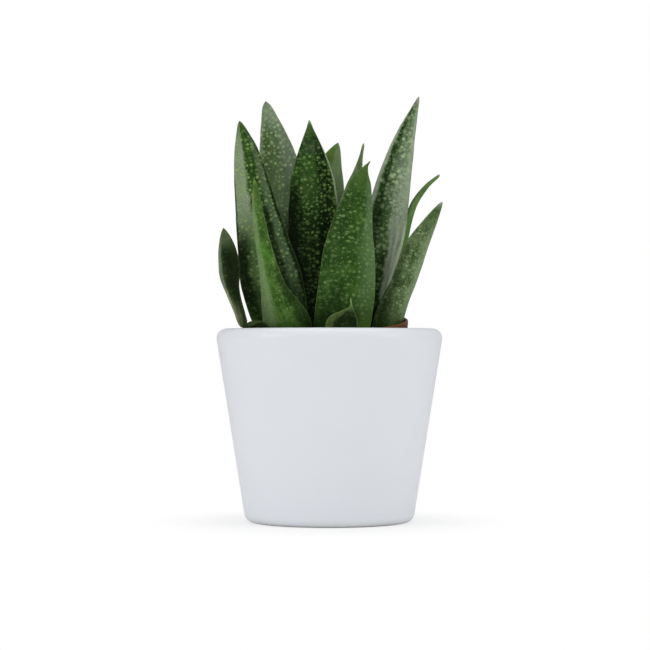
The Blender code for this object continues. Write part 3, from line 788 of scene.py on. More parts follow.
PEAT = EarthFinish((34, 24, 16), (78, 54, 34))
CRUMB = EarthFinish((44, 30, 18), (104, 74, 46), 500.0)
BARK = EarthFinish((86, 56, 34), (148, 110, 72), 500.0, 0.85, 0.15)
PERLITE = EarthFinish((206, 200, 188), (236, 234, 226), 700.0, 0.85, 0.12)
FIBRE = EarthFinish((84, 58, 32), (134, 98, 58), 600.0, 0.85, 0.08)
CROWN_SKIN = EarthFinish((58, 50, 28), (128, 108, 66), 420.0, 0.85, 0.3)


# Mesh helpers


def add(name: str, data: object, material: Material | None = None) -> Object:
    """Adds an object at the origin.

    Args:
        name: the object's name.
        data: its mesh, light or camera.
        material: what a mesh is made of.

    Returns:
        The object.
    """
    obj = bpy.data.objects.new(name, data)
    bpy.context.scene.collection.objects.link(obj)
    if material:
        data.materials.append(material)
    return obj


def bake(obj: Object) -> None:
    """Turns the object's evaluated shape into its own plain mesh, with no modifier left.

    Args:
        obj: the object.
    """
    bpy.context.view_layer.update()
    evaluated = obj.evaluated_get(bpy.context.evaluated_depsgraph_get())
    mesh = bpy.data.meshes.new_from_object(evaluated)
    obj.modifiers.clear()
    obj.data = mesh


def hand_over(piece: Object, slot: Slot, *nodes: str) -> None:
    """Gives a finished piece to the frame and logs it.

    Args:
        piece: the piece.
        slot: the record's material slot that it belongs to; not used.
        *nodes: the solids that it stands for.
    """
    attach(piece, BODY)
    if nodes:
        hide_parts(*nodes)
    LOG.info("%s: %d faces", piece.name, len(piece.data.polygons))


def arc(centre: Pair, radius: float, start: float, end: float, count: int) -> list[Pair]:
    """Points of a round stretch of a profile, angles in degrees, both ends included."""
    angles = [math.radians(start + (end - start) * i / (count - 1)) for i in range(count)]
    return [(centre[0] + radius * math.cos(a), centre[1] + radius * math.sin(a)) for a in angles]


def mesh_from(shape: bmesh.types.BMesh, name: str) -> Mesh:
    """Ends the work on a shape.

    Args:
        shape: the shape, which is freed.
        name: the name of its mesh.

    Returns:
        The mesh.
    """
    mesh = bpy.data.meshes.new(name)
    shape.to_mesh(mesh)
    shape.free()
    return mesh


def lofted(name: str, rings: list[list]) -> Mesh:
    """A closed mesh through rings of places, of which those with a single place close its ends.

    Args:
        name: the mesh's name.
        rings: the places round each ring, in metres.

    Returns:
        The mesh, smooth, its normals outwards and its vertices in the places' order.
    """
    shape = bmesh.new()
    loops = [[shape.verts.new(spot) for spot in ring] for ring in rings]
    for low, high in zip(loops, loops[1:]):
        for i in range(max(len(low), len(high))):
            corners = ((low, i), (high, i), (high, i + 1), (low, i + 1))
            shape.faces.new(list(dict.fromkeys(loop[k % len(loop)] for loop, k in corners)))
    bmesh.ops.recalc_face_normals(shape, faces=shape.faces)
    mesh = mesh_from(shape, name)
    mesh.shade_smooth()
    return mesh


def turned(name: str, profile: list[Pair], sides: int) -> Mesh:
    """A closed mesh turned round Z from (radius, height) points in millimetres.

    Args:
        name: the mesh's name.
        profile: the outline, from the axis round to the axis again.
        sides: how many sides it has.

    Returns:
        The mesh.
    """
    turns = [math.tau * i / sides for i in range(sides)]
    mesh = lofted(name, [
        [(radius * MM * math.cos(a), radius * MM * math.sin(a), height * MM)
         for a in (turns if radius else turns[:1])]
        for radius, height in profile
    ])
    mesh.set_sharp_from_angle(angle=SHARP)
    return mesh


# Cover pot


@dataclass
class CoverPot:
    """The white ceramic pot: a plain taper with a soft lip and a soft foot."""

    height: float = 67.5
    foot_radius: float = 29.3
    taper: float = 0.159
    floor: float = 6.0
    lip_outer: float = 3.3
    lip_inner: float = 1.3
    foot_round: float = 3.5
    floor_round: float = 6.0
    ring_inner: float = 21.5
    recess: float = 1.6
    sides: int = 240
    finish: CeramicFinish = CeramicFinish()

    def bend(self, height: float, radius: float, inset: float) -> Pair:
        """Centre of a rounding tangent to the side, or to a line inset from it.

        Args:
            height: the centre's height.
            radius: the rounding's radius, less than 0 where the side lies within it.
            inset: how far inside the outer side the tangent line is.

        Returns:
            The centre as (radius, height).
        """
        slant = math.hypot(1.0, self.taper)
        return self.foot_radius + self.taper * height - inset - radius * slant, height

    def build(self) -> None:
        """Turns the pot, dresses it and hands it over."""
        lean = math.degrees(math.atan(self.taper))
        wall = self.lip_outer + self.lip_inner
        floor_bend = self.bend(self.floor + self.floor_round, self.floor_round, wall)
        lip_in = self.bend(self.height - self.lip_inner, -self.lip_inner, wall)
        lip_out = self.bend(self.height - self.lip_outer, self.lip_outer, 0.0)
        foot_bend = self.bend(self.foot_round, self.foot_round, 0.0)
        mesh = turned("glazed_pot", [
            (0.0, self.floor),
            *arc(floor_bend, self.floor_round, -90, -lean, 10),
            *arc(lip_in, self.lip_inner, 180 - lean, 90, 8),
            *arc(lip_out, self.lip_outer, 90, -lean, 14),
            *arc(foot_bend, self.foot_round, -lean, -90, 12),
            (self.ring_inner, 0.0), (self.ring_inner - self.recess, self.recess),
            (0.0, self.recess),
        ], self.sides)
        pot = add("glazed_pot", mesh, self.finish.material())
        hand_over(pot, Slot.CERAMIC, "cover_pot")


# Nursery pot and soil


@dataclass
class NurseryPot:
    """The thin plastic pot that stands askew inside, with its rim band and drain holes."""

    rim_radius: float = 28.3
    band_depth: float = 6.5
    band_step: float = 1.1
    foot_radius: float = 17.8
    wall: float = 1.1
    rim_centre: Point = (-0.8, -1.0, 69.5)
    tilt: float = 8.0
    high_side: float = 70.0
    floor_height: float = 6.3
    drain_holes: int = 4
    drain_radius: float = 2.6
    drain_ring: float = 11.0
    sides: int = 176
    finish: PlasticFinish = PlasticFinish()

    @property
    def height(self) -> float:
        """The pot's height, so that its tilted foot just clears the cover pot's floor."""
        lean, drop = math.radians(self.tilt), self.rim_centre[2] - self.floor_height
        return (drop - self.foot_radius * math.sin(lean)) / math.cos(lean)

    @property
    def place(self) -> Matrix:
        """The frame at the rim's centre, tilted up on one side, in metres.

        Returns:
            The frame.
        """
        side = math.radians(self.high_side)
        axis = Vector((math.sin(side), -math.cos(side), 0.0))
        turn = Matrix.Rotation(math.radians(self.tilt), 4, axis)
        return Matrix.Translation(Vector(self.rim_centre) * MM) @ turn

    def inner_radius(self, depth: float) -> float:
        """The inside radius that far below the rim, under the band."""
        top = self.rim_radius - self.band_step - self.wall
        return top + (self.foot_radius - self.wall - top) * depth / self.height

    def build(self) -> None:
        """Turns the pot, cuts its drain holes, dresses it and hands it over."""
        height, wall, rim, band = self.height, self.wall, self.rim_radius, self.band_depth
        inside = rim - wall
        step = band + wall
        mesh = turned("plastic_pot", [
            (0.0, wall - height),
            (self.inner_radius(height - wall), wall - height),
            (self.inner_radius(step), -step), (inside - 0.4, 0.4 - band),
            *arc((inside + wall / 2, -wall / 2), wall / 2, 180, 0, 9),
            # a fine step under the lip, the band's draft, and its worn lower edge
            (rim - 0.05, -1.9), (rim - 0.2, -2.1), (rim - 0.38, 0.2 - band), (rim - 0.55, -band),
            (self.inner_radius(step) + wall, -step),
            *arc((self.foot_radius - 0.7, 0.7 - height), 0.7, 0, -90, 5),
            (0.0, -height),
        ], self.sides)
        pot = add("plastic_pot", mesh, self.finish.material(self.place))
        cutters = [self.drain(i) for i in range(self.drain_holes)]
        for cutter in cutters:
            pot.modifiers.new("Drain", "BOOLEAN").object = cutter
        bake(pot)
        for cutter in cutters:
            bpy.data.objects.remove(cutter)
        pot.data.transform(self.place)
        hand_over(pot, Slot.PLASTIC, "nursery_pot")

    def drain(self, index: int) -> Object:
        """A cutter for one drain hole.

        Args:
            index: which hole it is.

        Returns:
            The cutter, in the pot's own frame.
        """
        shape = bmesh.new()
        radius = self.drain_radius * MM
        bmesh.ops.create_cone(
            shape, cap_ends=True, segments=40, radius1=radius, radius2=radius, depth=6 * MM
        )
        angle, ring = math.tau * (index + 0.5) / self.drain_holes, self.drain_ring
        spot = Vector((ring * math.cos(angle), ring * math.sin(angle), -self.height)) * MM
        bmesh.ops.translate(shape, vec=spot, verts=shape.verts)
        return add("drain", mesh_from(shape, "drain"))


@dataclass
class Soil:
    """The peaty mix in the nursery pot, lumpy on top, with crumbs, perlite and fibres on it."""

    pot: NurseryPot
    depth: float = 9.0
    gap: float = 0.3
    sides: int = 132
    rings: int = 40
    seed: float = 11.0

    def roughen(self, vertex: bpy.types.MeshVertex | bmesh.types.BMVert) -> None:
        """Lifts a vertex to the lumpy top.

        Args:
            vertex: the vertex, in the nursery pot's frame.
        """
        x, y = vertex.co.x / MM, vertex.co.y / MM
        broad = 0.8 * noise.noise(Vector((x / 3.4, y / 3.4, self.seed - self.depth / 3.4)))
        fine = 0.35 * noise.noise(Vector((x / 1.1, y / 1.1, self.seed)))
        vertex.co.z = (broad + fine - self.depth) * MM

    def build(self) -> None:
        """Builds the plug and what lies on it, and hands them over."""
        top_radius = self.pot.inner_radius(self.depth) - self.gap
        bottom = self.pot.wall + self.gap - self.pot.height
        foot_radius = self.pot.inner_radius(-bottom) - self.gap
        profile = [(top_radius * i / self.rings, 0.0) for i in range(self.rings + 1)]
        mesh = turned("peat", [*profile, (foot_radius, bottom), (0.0, bottom)], self.sides)
        for vertex in mesh.vertices:
            if vertex.co.z == 0.0:
                self.roughen(vertex)
        mesh.transform(self.pot.place)
        hand_over(add("peat", mesh, PEAT.material("peat")), Slot.SOIL, "potting_soil")
        ground = self.ground(top_radius - 1.1)
        for kind in (
            Litter("peat_crumbs", CRUMB, 2300, 0.3, 1.15, (1.0, 0.9, 0.7), 3),
            Litter("bark_chips", BARK, 170, 1.0, 2.4, (1.0, 0.62, 0.3), 33),
            Litter("perlite", PERLITE, 62, 0.45, 1.15, (1.0, 0.9, 0.8), 8),
            Litter("fibres", FIBRE, 330, 0.9, 2.6, (1.0, 0.13, 0.11), 21),
        ):
            kind.scatter(ground, self.pot.place)
        bpy.data.objects.remove(ground)

    def ground(self, radius: float) -> Object:
        """The sheet of the soil's top that crumbs are scattered on, in the nursery pot's frame.

        Args:
            radius: how far out it reaches.

        Returns:
            The sheet.
        """
        shape = bmesh.new()
        bmesh.ops.create_circle(shape, cap_ends=True, segments=48, radius=radius * MM)
        bmesh.ops.poke(shape, faces=shape.faces)
        bmesh.ops.subdivide_edges(shape, edges=shape.edges, cuts=9, use_grid_fill=True)
        for vertex in shape.verts:
            self.roughen(vertex)
        return add("ground", mesh_from(shape, "ground"))


@cache
def litter_tree() -> NodeTree:
    """Geometry nodes that scatter lumpy grains over a sheet.

    Returns:
        The tree. Its inputs are Geometry, Density, Smallest, Largest, Shape, Seed and Material.
    """
    graph, (sheet, density, smallest, largest, shape, seed, material) = new_group(
        "Litter", "Geometry", {
            "Geometry": "Geometry", "Density": 1.0, "Smallest": MM, "Largest": MM,
            "Shape": (1.0, 1.0, 1.0), "Seed": 0, "Material": "Material",
        }, "Geometry",
    )
    points = graph.node("GeometryNodeDistributePointsOnFaces", {
        "Mesh": sheet, "Density": density, "Seed": seed,
    })
    grain = graph.node("GeometryNodeMeshIcoSphere", {"Radius": 0.5, "Subdivisions": 2})
    lump = graph.out("TexNoise", {"Scale": 1.7, "Detail": 1.0}, "Color")
    push = graph.vector("SUBTRACT", lump, (0.5, 0.5, 0.5))
    lumpy = graph.node("GeometryNodeSetPosition", {
        "Geometry": grain.outputs["Mesh"], "Offset": graph.vector("MULTIPLY", push, (0.75,) * 3),
    })
    turn = graph.node("FunctionNodeRandomValue", {
        "Min": (-0.5, -0.5, 0.0), "Max": (0.5, 0.5, math.tau), "Seed": seed,
    }, data_type="FLOAT_VECTOR")
    size = graph.node("FunctionNodeRandomValue", {
        "Min": smallest, "Max": largest, "Seed": seed,
    }, data_type="FLOAT")
    placed = graph.node("GeometryNodeInstanceOnPoints", {
        "Points": points.outputs["Points"], "Instance": lumpy.outputs["Geometry"],
        "Rotation": turn.outputs["Value"],
        "Scale": graph.vector("MULTIPLY", shape, size.outputs["Value"]),
    })
    real = graph.node("GeometryNodeRealizeInstances", (placed.outputs["Instances"],))
    dressed = graph.node("GeometryNodeSetMaterial", {
        "Geometry": real.outputs["Geometry"], "Material": material,
    })
    return graph.close(dressed.outputs["Geometry"])


@dataclass
class Litter:
    """One kind of grain on the soil: how many, how large from least to most, and its shape."""

    name: str
    finish: EarthFinish
    count: int
    smallest: float
    largest: float
    shape: Point
    seed: int

    def scatter(self, ground: Object, place: Matrix) -> None:
        """Scatters the grains and hands them over.

        Args:
            ground: the sheet that they lie on.
            place: the nursery pot's frame.
        """
        piece = add(self.name, ground.data.copy())
        modifier = piece.modifiers.new("Litter", "NODES")
        modifier.node_group = litter_tree()
        values = {
            "Density": self.count / sum(face.area for face in ground.data.polygons),
            "Smallest": self.smallest * MM, "Largest": self.largest * MM, "Shape": self.shape,
            "Seed": self.seed, "Material": self.finish.material(self.name),
        }
        for item in modifier.node_group.interface.items_tree:
            if item.in_out == "INPUT" and item.name in values:
                modifier[item.identifier] = values[item.name]
        bake(piece)
        piece.data.transform(place)
        hand_over(piece, Slot.SOIL)


# Leaves


def hermite(low: object, high: object, slopes: list, span: float, s: float) -> tuple:
    """A value or point at share s of a cubic stretch, and how fast it changes there.

    Args:
        low: the value where the stretch starts.
        high: the value where it ends.
        slopes: how fast it changes at those two ends.
        span: the stretch's length.
        s: the share of it, 0 to 1.

    Returns:
        The value and its change.
    """
    value = (
        low * (2 * s**3 - 3 * s**2 + 1)
        + slopes[0] * span * (s**3 - 2 * s**2 + s)
        + high * (3 * s**2 - 2 * s**3)
        + slopes[1] * span * (s**3 - s**2)
    )
    change = (
        low * (6 * s**2 - 6 * s) / span
        + slopes[0] * (3 * s**2 - 4 * s + 1)
        + high * (6 * s - 6 * s**2) / span
        + slopes[1] * (3 * s**2 - 2 * s)
    )
    return value, change


def between(stations: tuple[Pair, ...], t: float) -> float:
    """A value on a smooth curve that never overshoots.

    Args:
        stations: the (share, value) pairs that it goes through.
        t: the share that is read.

    Returns:
        The value there.
    """
    rises = [(b[1] - a[1]) / (b[0] - a[0]) for a, b in zip(stations, stations[1:])]
    i = sum(t > share for share, _ in stations[1:-1])
    slopes = []
    for beside in (rises[max(i - 1, 0) : i + 1], rises[i : i + 2]):
        level = min(beside) * max(beside) <= 0.0
        slopes.append(0.0 if level else len(beside) / sum(1.0 / rise for rise in beside))
    (start, low), (end, high) = stations[i : i + 2]
    return hermite(low, high, slopes, end - start, (t - start) / (end - start))[0]


def along(points: list[Vector], t: float) -> tuple[Vector, Vector]:
    """A place on a smooth curve through the points, spaced by distance.

    Args:
        points: the points.
        t: the share of the way, 0 to 1.

    Returns:
        The place and its heading.
    """
    knots = [0.0]
    for before, after in zip(points, points[1:]):
        knots.append(knots[-1] + (after - before).length)
    distance = t * knots[-1]
    i = sum(distance > knot for knot in knots[1:-1])
    slopes = []
    for j in (i, i + 1):
        low, high = max(j - 1, 0), min(j + 1, len(points) - 1)
        slopes.append((points[high] - points[low]) / (knots[high] - knots[low]))
    span = knots[i + 1] - knots[i]
    place, heading = hermite(*points[i : i + 2], slopes, span, (distance - knots[i]) / span)
    return place, heading.normalized()


def smooth(x: float) -> float:
    """0 to 1 with level ends."""
    x = min(max(x, 0.0), 1.0)
    return x * x * (3 - 2 * x)


@dataclass(frozen=True)
class Fold:
    """A shallow groove, or a ridge where its depth is below 0, that runs along a leaf's face."""

    centre: float
    half: float
    depth: float
    low: float = 0.1
    high: float = 0.95
    slant: float = 0.0

    def lift(self, u: float, t: float) -> float:
        """How far the face moves.

        Args:
            u: the place across it, -1 to 1.
            t: the place along it, 0 to 1.

        Returns:
            The distance outwards in millimetres.
        """
        away = (u - self.centre - self.slant * t) / self.half
        ends = smooth((t - self.low) / 0.15) * smooth((self.high - t) / 0.15)
        return -self.depth * math.exp(-away * away) * ends


@dataclass
class Blade:
    """One leaf, in millimetres and degrees.

    faces is the heading of its keeled outer face, and cup is how far its edges curl inwards.
    spine runs from its root to its point, widths gives (share of its length, width) pairs, and
    keel is the keel's place across it. swelling and waving are how far its surface is uneven,
    and even is the share of the cuts' spacing that stays even, while the rest crowds them towards
    the point.
    """

    name: str
    faces: float
    thickness: float
    cup: float
    spine: tuple[Point, ...]
    widths: tuple[Pair, ...]
    keel: float = 0.0
    folds: tuple[Fold, ...] = ()
    margin: float = 0.32
    point: float = 1.6
    root_share: float = 0.62
    root_depth: float = 1.6
    inner_share: float = 0.34
    swelling: float = 0.16
    waving: float = 0.12
    pattern_shift: float = 40.0
    sections: int = 84
    stations: int = 26
    even: float = 0.42

    def outer_height(self, u: float, t: float) -> float:
        """How far the outer face stands out: swollen low down, keeled higher up.

        Args:
            u: where it is across the blade, from -1 to 1.
            t: where it is along it, from 0 to 1.

        Returns:
            The height, as a share of the thickness.
        """
        reach = (1 - self.keel) if u > self.keel else (1 + self.keel)
        ridge = max(0.0, 1 - math.hypot(abs(u - self.keel), 0.035) / reach)
        swell = 0.52 * (1 - abs(u) ** 2.2) * (1 - 0.45 * smooth(t / 0.6))
        return swell + 0.5 * ridge * smooth(t / 0.6 + 0.2)

    def girth(self) -> list[tuple[float, int]]:
        """Where the points round one cut lie: (place across, side), outer face first.

        Returns:
            The points from one edge over the outer face to the other edge and back.
        """
        crossing = [-math.cos(math.pi * i / self.stations) for i in range(self.stations + 1)]
        return [(u, 1) for u in crossing] + [(u, -1) for u in crossing[-2:0:-1]]

    def cut(self, t: float, seed: float) -> list[tuple]:
        """One cut through the blade.

        Args:
            t: where it is, from 0 at the root to 1 at the point.
            seed: shifts the surface's own unevenness.

        Returns:
            For each point round it: its place in metres, and the values of blade_mm and
            blade_place there.
        """
        points = [Vector(p) for p in self.spine]
        place, heading = along(points, t)
        length = sum((b - a).length for a, b in zip(points, points[1:]))
        facing = math.radians(self.faces)
        across = Vector((-math.sin(facing), math.cos(facing), 0.0))
        across = (across - across.dot(heading) * heading).normalized()
        outward = across.cross(heading)
        width = between(self.widths, t)
        share = min(1.0, width / max(w for _, w in self.widths))
        left = min(1.0, (1 - t) * length / self.point)
        end = max(0.15, math.sqrt(1 - (1 - left) ** 2))
        half = max(width / 2, self.margin) * end
        rooted = self.root_share + (1 - self.root_share) * smooth(t / 0.2)
        flesh = self.thickness * share**0.75 * (1 - 0.3 * t) * end * rooted
        calm = share * smooth(t * 8.0)
        made = []
        for u, side in self.girth():
            thin = math.sqrt(max(0.0, 1 - max(0.0, (abs(u) - 0.9) / 0.1) ** 2))
            form = self.outer_height(u, t) if side > 0 else self.inner_share * (1 - u * u)
            lift = side * (self.margin * end * thin + flesh * form)
            if side * math.sin(facing) < 0.0:
                lift += side * sum(fold.lift(u, t) for fold in self.folds)
            spot = place + across * (u * half) + outward * (lift - self.cup * share * u * u)
            swell = noise.noise(spot / 6.0 + Vector((seed * 9.0, 0.0, 0.0)))
            wave = noise.noise(Vector((t * length / 5.0, seed * 3.0, 0.5 * u)))
            spot += outward * (self.swelling * swell * calm)
            spot += across * (self.waving * wave * abs(u) * calm)
            shift = 0.0 if side > 0 else self.pattern_shift
            skin = (u * half + shift, t * length, half * (1 - abs(u)))
            made.append((spot * MM, skin, (u, t, float(side))))
        return made

    def build(self, index: int) -> None:
        """Lofts the leaf, dresses it and hands it over.

        Args:
            index: the leaf's number, which seeds its pattern.
        """
        seed = 1.7 * (index + 1)
        shares = [i / (self.sections - 1) for i in range(self.sections)]
        ease = [self.even * s + (1 - self.even) * math.sin(s * math.pi / 2) for s in shares]
        cuts = [self.cut(t, seed) for t in ease]
        heading = along([Vector(p) for p in self.spine], 0.0)[1]
        sink = heading * self.root_depth * MM
        cuts.insert(0, [(spot - sink, skin, at) for spot, skin, at in cuts[0]])
        ends = []
        for ring, drop in ((cuts[0], -0.3 * MM), (cuts[-1], 0.0)):
            middle = sum((spot for spot, _, _ in ring), Vector()) / len(ring)
            ends.append([(middle + heading * drop, *ring[0][1:])])
        rings = [ends[0], *cuts, ends[1]]
        mesh = lofted(self.name, [[point[0] for point in ring] for ring in rings])
        for i, label in ((1, "blade_mm"), (2, "blade_place")):
            values = [value for ring in rings for point in ring for value in point[i]]
            made = mesh.attributes.new(label, "FLOAT_VECTOR", "POINT")
            made.data.foreach_set("vector", values)
        finish = LOOKS.get(self.name, LeafFinish())
        piece = add("skin_" + self.name, mesh, finish.material(self.name, seed))
        hand_over(piece, Slot.LEAF, self.name)


BLADES = (
    Blade("leaf_left_low", 236, 2.4, 0.5, (
        (-19.8, -12.2, 58.6), (-21, -14.2, 65.6), (-24.2, -16.2, 69.3), (-28.9, -17.4, 68.5),
        (-31, -16.7, 73.2), (-33.8, -14.6, 82), (-35.1, -12.4, 91), (-36.6, -11, 102.2),
    ), (
        (0, 3.4), (0.25, 3.7), (0.42, 4.1), (0.57, 5.7), (0.73, 9), (0.84, 7.8), (0.93, 4.7),
        (1, 0.6),
    )),
    Blade("leaf_left_tall", 104, 4.4, 3.2, (
        (-15.2, 4.2, 61.6), (-17.9, 5.2, 71), (-21.5, 6, 86), (-26.4, 6.4, 110.6),
        (-29.6, 6.2, 130), (-31.8, 6, 141.1),
    ), (
        (0, 11), (0.13, 20.7), (0.28, 22.4), (0.45, 19), (0.62, 15), (0.75, 12.1), (0.87, 8.5),
        (0.92, 5.9), (0.955, 3.9), (0.98, 2.3), (1, 0.8),
    ), keel=0.1, folds=(Fold(-0.45, 0.1, 0.5), Fold(0.2, 0.16, -0.3))),
    Blade("leaf_left_front", 262, 4.6, 2.4, (
        (-14.8, -10.4, 59.2), (-15.2, -11.8, 68.6), (-18.8, -12.4, 79), (-22.2, -12.6, 93),
        (-24.7, -12.2, 107), (-25.9, -11.6, 118.9),
    ), (
        (0, 12), (0.13, 17.6), (0.26, 13.6), (0.38, 9), (0.6, 5.6), (0.8, 4), (0.94, 2.2), (1, 0.6),
    ), keel=-0.15),
    Blade("leaf_left_edge", 140, 3.6, 1.6, (
        (-21.6, 6.4, 61.2), (-26.2, 10.4, 80), (-30, 13, 100), (-31.3, 13.8, 117), (-31, 14, 130),
    ), (
        (0, 5), (0.12, 7), (0.35, 11), (0.58, 10.6), (0.78, 7.4), (0.92, 3.4), (1, 0.6),
    )),
    Blade("leaf_left_back_tall", 96, 4.4, 2.6, (
        (-12.6, 11.2, 62.6), (-13.6, 15, 85), (-15.9, 16.8, 110), (-19.1, 17, 131),
        (-22.9, 17, 149.3),
    ), (
        (0, 9), (0.3, 17), (0.55, 16.6), (0.72, 14.5), (0.87, 9), (0.925, 6.1), (0.955, 4.6),
        (0.98, 3), (1, 0.9),
    )),
    Blade("leaf_left_back_low", 112, 3.4, 1.2, (
        (-16.8, 14.6, 62.8), (-17.6, 17, 73), (-20.2, 21.4, 86), (-22.4, 25.4, 98),
    ), (
        (0, 6), (0.35, 9), (0.65, 8.2), (0.88, 4), (1, 0.6),
    )),
    Blade("leaf_left_heart", 262, 2.4, 0.9, (
        (-16.5, -3, 62.5), (-17, -3, 70), (-18.6, -3, 80.4),
    ), (
        (0, 4.4), (0.3, 6.4), (0.65, 4.8), (0.88, 2.2), (1, 0.6),
    )),
    Blade("leaf_middle_front", 272, 5.2, 2.4, (
        (3.4, -9.4, 61), (4.4, -11, 68.6), (5.9, -12.6, 80), (7.3, -13.2, 98.8), (10, -13.2, 113.3),
        (11.4, -13, 119.9), (12.6, -12.8, 123.1), (14.1, -12.6, 125.2),
    ), (
        (0, 12), (0.12, 19.6), (0.25, 20), (0.45, 18.6), (0.65, 14.2), (0.8, 9.8), (0.88, 6.9),
        (0.93, 3.5), (0.96, 1.7), (0.98, 0.8), (1, 0.6),
    ), keel=0.1),
    Blade("leaf_middle_tall", 92, 4.4, 1.8, (
        (-2.4, 7.2, 62.2), (-4, 9.4, 80), (-5.5, 9.4, 100), (-6, 8.4, 120), (-7.1, 7, 141.6),
    ), (
        (0, 9), (0.25, 15.6), (0.52, 18.2), (0.7, 16.4), (0.82, 11.6), (0.91, 6), (0.97, 2),
        (1, 0.6),
    )),
    Blade("leaf_middle_spike", 62, 3.6, 1.4, (
        (8.8, 3.8, 62.5), (8.2, 3.2, 85), (8, 2.4, 108), (9.9, 2, 121), (12.1, 2, 132.8),
    ), (
        (0, 5), (0.35, 11.4), (0.6, 11), (0.77, 7.1), (0.87, 3), (0.95, 1), (1, 0.6),
    )),
    Blade("leaf_middle_back", 90, 4, 2, (
        (1.8, 13.2, 63.6), (-0.2, 17.8, 85), (-1.2, 19.8, 110), (-0.2, 20.2, 124),
        (3.2, 20.2, 134.8),
    ), (
        (0, 8), (0.35, 14), (0.62, 14), (0.78, 12.3), (0.88, 8.6), (0.95, 4.6), (1, 0.8),
    )),
    Blade("leaf_middle_back_left", 98, 4.2, 2.2, (
        (-6.8, 16.2, 63.8), (-8, 22.8, 84), (-7.8, 27.4, 104), (-7.8, 29.6, 117),
    ), (
        (0, 7), (0.35, 12.4), (0.62, 11.4), (0.85, 6.2), (1, 0.6),
    )),
    Blade("leaf_middle_back_right", 84, 3.8, 1.8, (
        (7.6, 15.2, 64.3), (8.2, 21.2, 76), (8.6, 26.2, 88), (8.2, 29.2, 98),
    ), (
        (0, 7), (0.35, 12), (0.65, 9.6), (0.88, 4.2), (1, 0.6),
    )),
    Blade("leaf_middle_heart", 258, 3, 1.2, (
        (1.6, -2, 63.8), (2.4, -2.6, 76), (4.6, -3.2, 96),
    ), (
        (0, 5), (0.3, 8.6), (0.6, 6.8), (0.85, 3), (1, 0.6),
    )),
    Blade("leaf_right_tall", 76, 4.6, 2.6, (
        (12.2, 7, 63.1), (14.2, 9, 80), (19.5, 9.4, 100), (23.4, 9, 120), (27, 8.2, 135),
        (31.8, 7.4, 149.9),
    ), (
        (0, 8), (0.2, 13.6), (0.42, 15.5), (0.58, 13.6), (0.72, 10.6), (0.86, 6.2), (0.94, 3),
        (1, 0.6),
    ), keel=0.1, folds=(Fold(0.9, 0.12, 0.5, slant=-0.55), Fold(-0.45, 0.12, -0.25, 0, 0.7))),
    Blade("leaf_right_heart", 288, 2.4, 0.9, (
        (16.2, 0.9, 64.6), (19.4, 1, 73), (22.4, 1, 81), (25, 1, 89),
    ), (
        (0, 3.6), (0.3, 6), (0.62, 5), (0.86, 2.4), (1, 0.6),
    )),
    Blade("leaf_right_low", 306, 3.8, 1.4, (
        (20.1, -3.4, 62.3), (22.4, -3.8, 72.5), (26.6, -4, 83.6), (31.1, -4.4, 95.9),
        (35.7, -5, 104.9), (39.3, -5.6, 111.6),
    ), (
        (0, 7.8), (0.14, 11.8), (0.22, 11.9), (0.36, 10.4), (0.5, 10.8), (0.65, 10.1), (0.82, 6.6),
        (0.92, 3.6), (1, 0.6),
    )),
    Blade("leaf_right_curved", 8, 2.8, 0.8, (
        (21.2, 5.8, 63.3), (22.6, 8.2, 74), (24.1, 10.8, 86), (26.3, 12.2, 99.4),
        (29.8, 11.8, 111.7), (34.3, 10.4, 118.2), (39.2, 9.2, 122.3),
    ), (
        (0, 5), (0.35, 7), (0.6, 5.6), (0.8, 4.2), (0.92, 2), (1, 0.6),
    )),
    Blade("leaf_right_back", 70, 4, 1.8, (
        (15.8, 13, 63.9), (16.2, 15.2, 73.5), (19.2, 20.2, 87), (21, 24.6, 100), (21.4, 27.4, 110),
    ), (
        (0, 6), (0.35, 10.4), (0.62, 9.6), (0.86, 5), (1, 0.6),
    )),
    Blade("leaf_offset_back", 92, 2.2, 0.9, (
        (4.6, -16.4, 59.8), (4.7, -16.9, 68.3), (6.3, -17.4, 71.7), (7.4, -17.8, 74.8),
        (7.2, -18.2, 77.8),
    ), (
        (0, 7), (0.45, 12.3), (0.57, 9.5), (0.66, 7.1), (0.74, 4.5), (0.83, 1.4), (0.9, 0.7),
        (1, 0.6),
    )),
    Blade("leaf_offset_front", 270, 1.4, 0.4, (
        (5.6, -22.4, 58.4), (5.8, -23, 62.2), (5.6, -23.6, 66),
    ), (
        (0, 4), (0.4, 5.4), (0.8, 2.8), (1, 0.6),
    )),
)


# Crowns


@dataclass
class Crown:
    """A shoot's short stem, domed, wrapped in the dry bases of old leaves."""

    name: str
    at: Pair
    radius: float
    top: float
    foot: float
    dome: float = 0.6
    sides: int = 96

    def build(self) -> None:
        """Turns the stem, roughens it, dresses it and hands it over."""
        height, radius = self.top - self.foot, self.radius
        dome = arc((0.0, 0.0), radius, 90, 0, 22)[1:]
        mesh = turned(self.name, [
            (0.0, height),
            *((r, height + self.dome * (z - radius)) for r, z in dome),
            *((radius, height * (0.9 - 0.06 * i)) for i in range(1, 8)),
            (radius, height * 0.4), (radius * 0.5, 0.0), (0.0, 0.0),
        ], self.sides)
        for vertex in mesh.vertices:
            spot = vertex.co / MM
            reach = math.hypot(spot.x, spot.y)
            if reach > 0.1 and spot.z > 0.3 * height:
                scars = abs(math.sin(1.9 * reach + 0.9 * spot.z + 2.4 * noise.noise(spot / 3.6)))
                rough = 0.34 * scars + 0.5 * abs(noise.noise(spot / 1.3))
                outwards = Vector((spot.x, spot.y, 3.0 * max(0.0, spot.z - height + 2.5)))
                vertex.co -= outwards.normalized() * rough * MM
        mesh.transform(Matrix.Translation(Vector((*self.at, self.foot)) * MM))
        stem = add("stem_" + self.name, mesh, CROWN_SKIN.material(self.name))
        hand_over(stem, Slot.STEM, self.name)


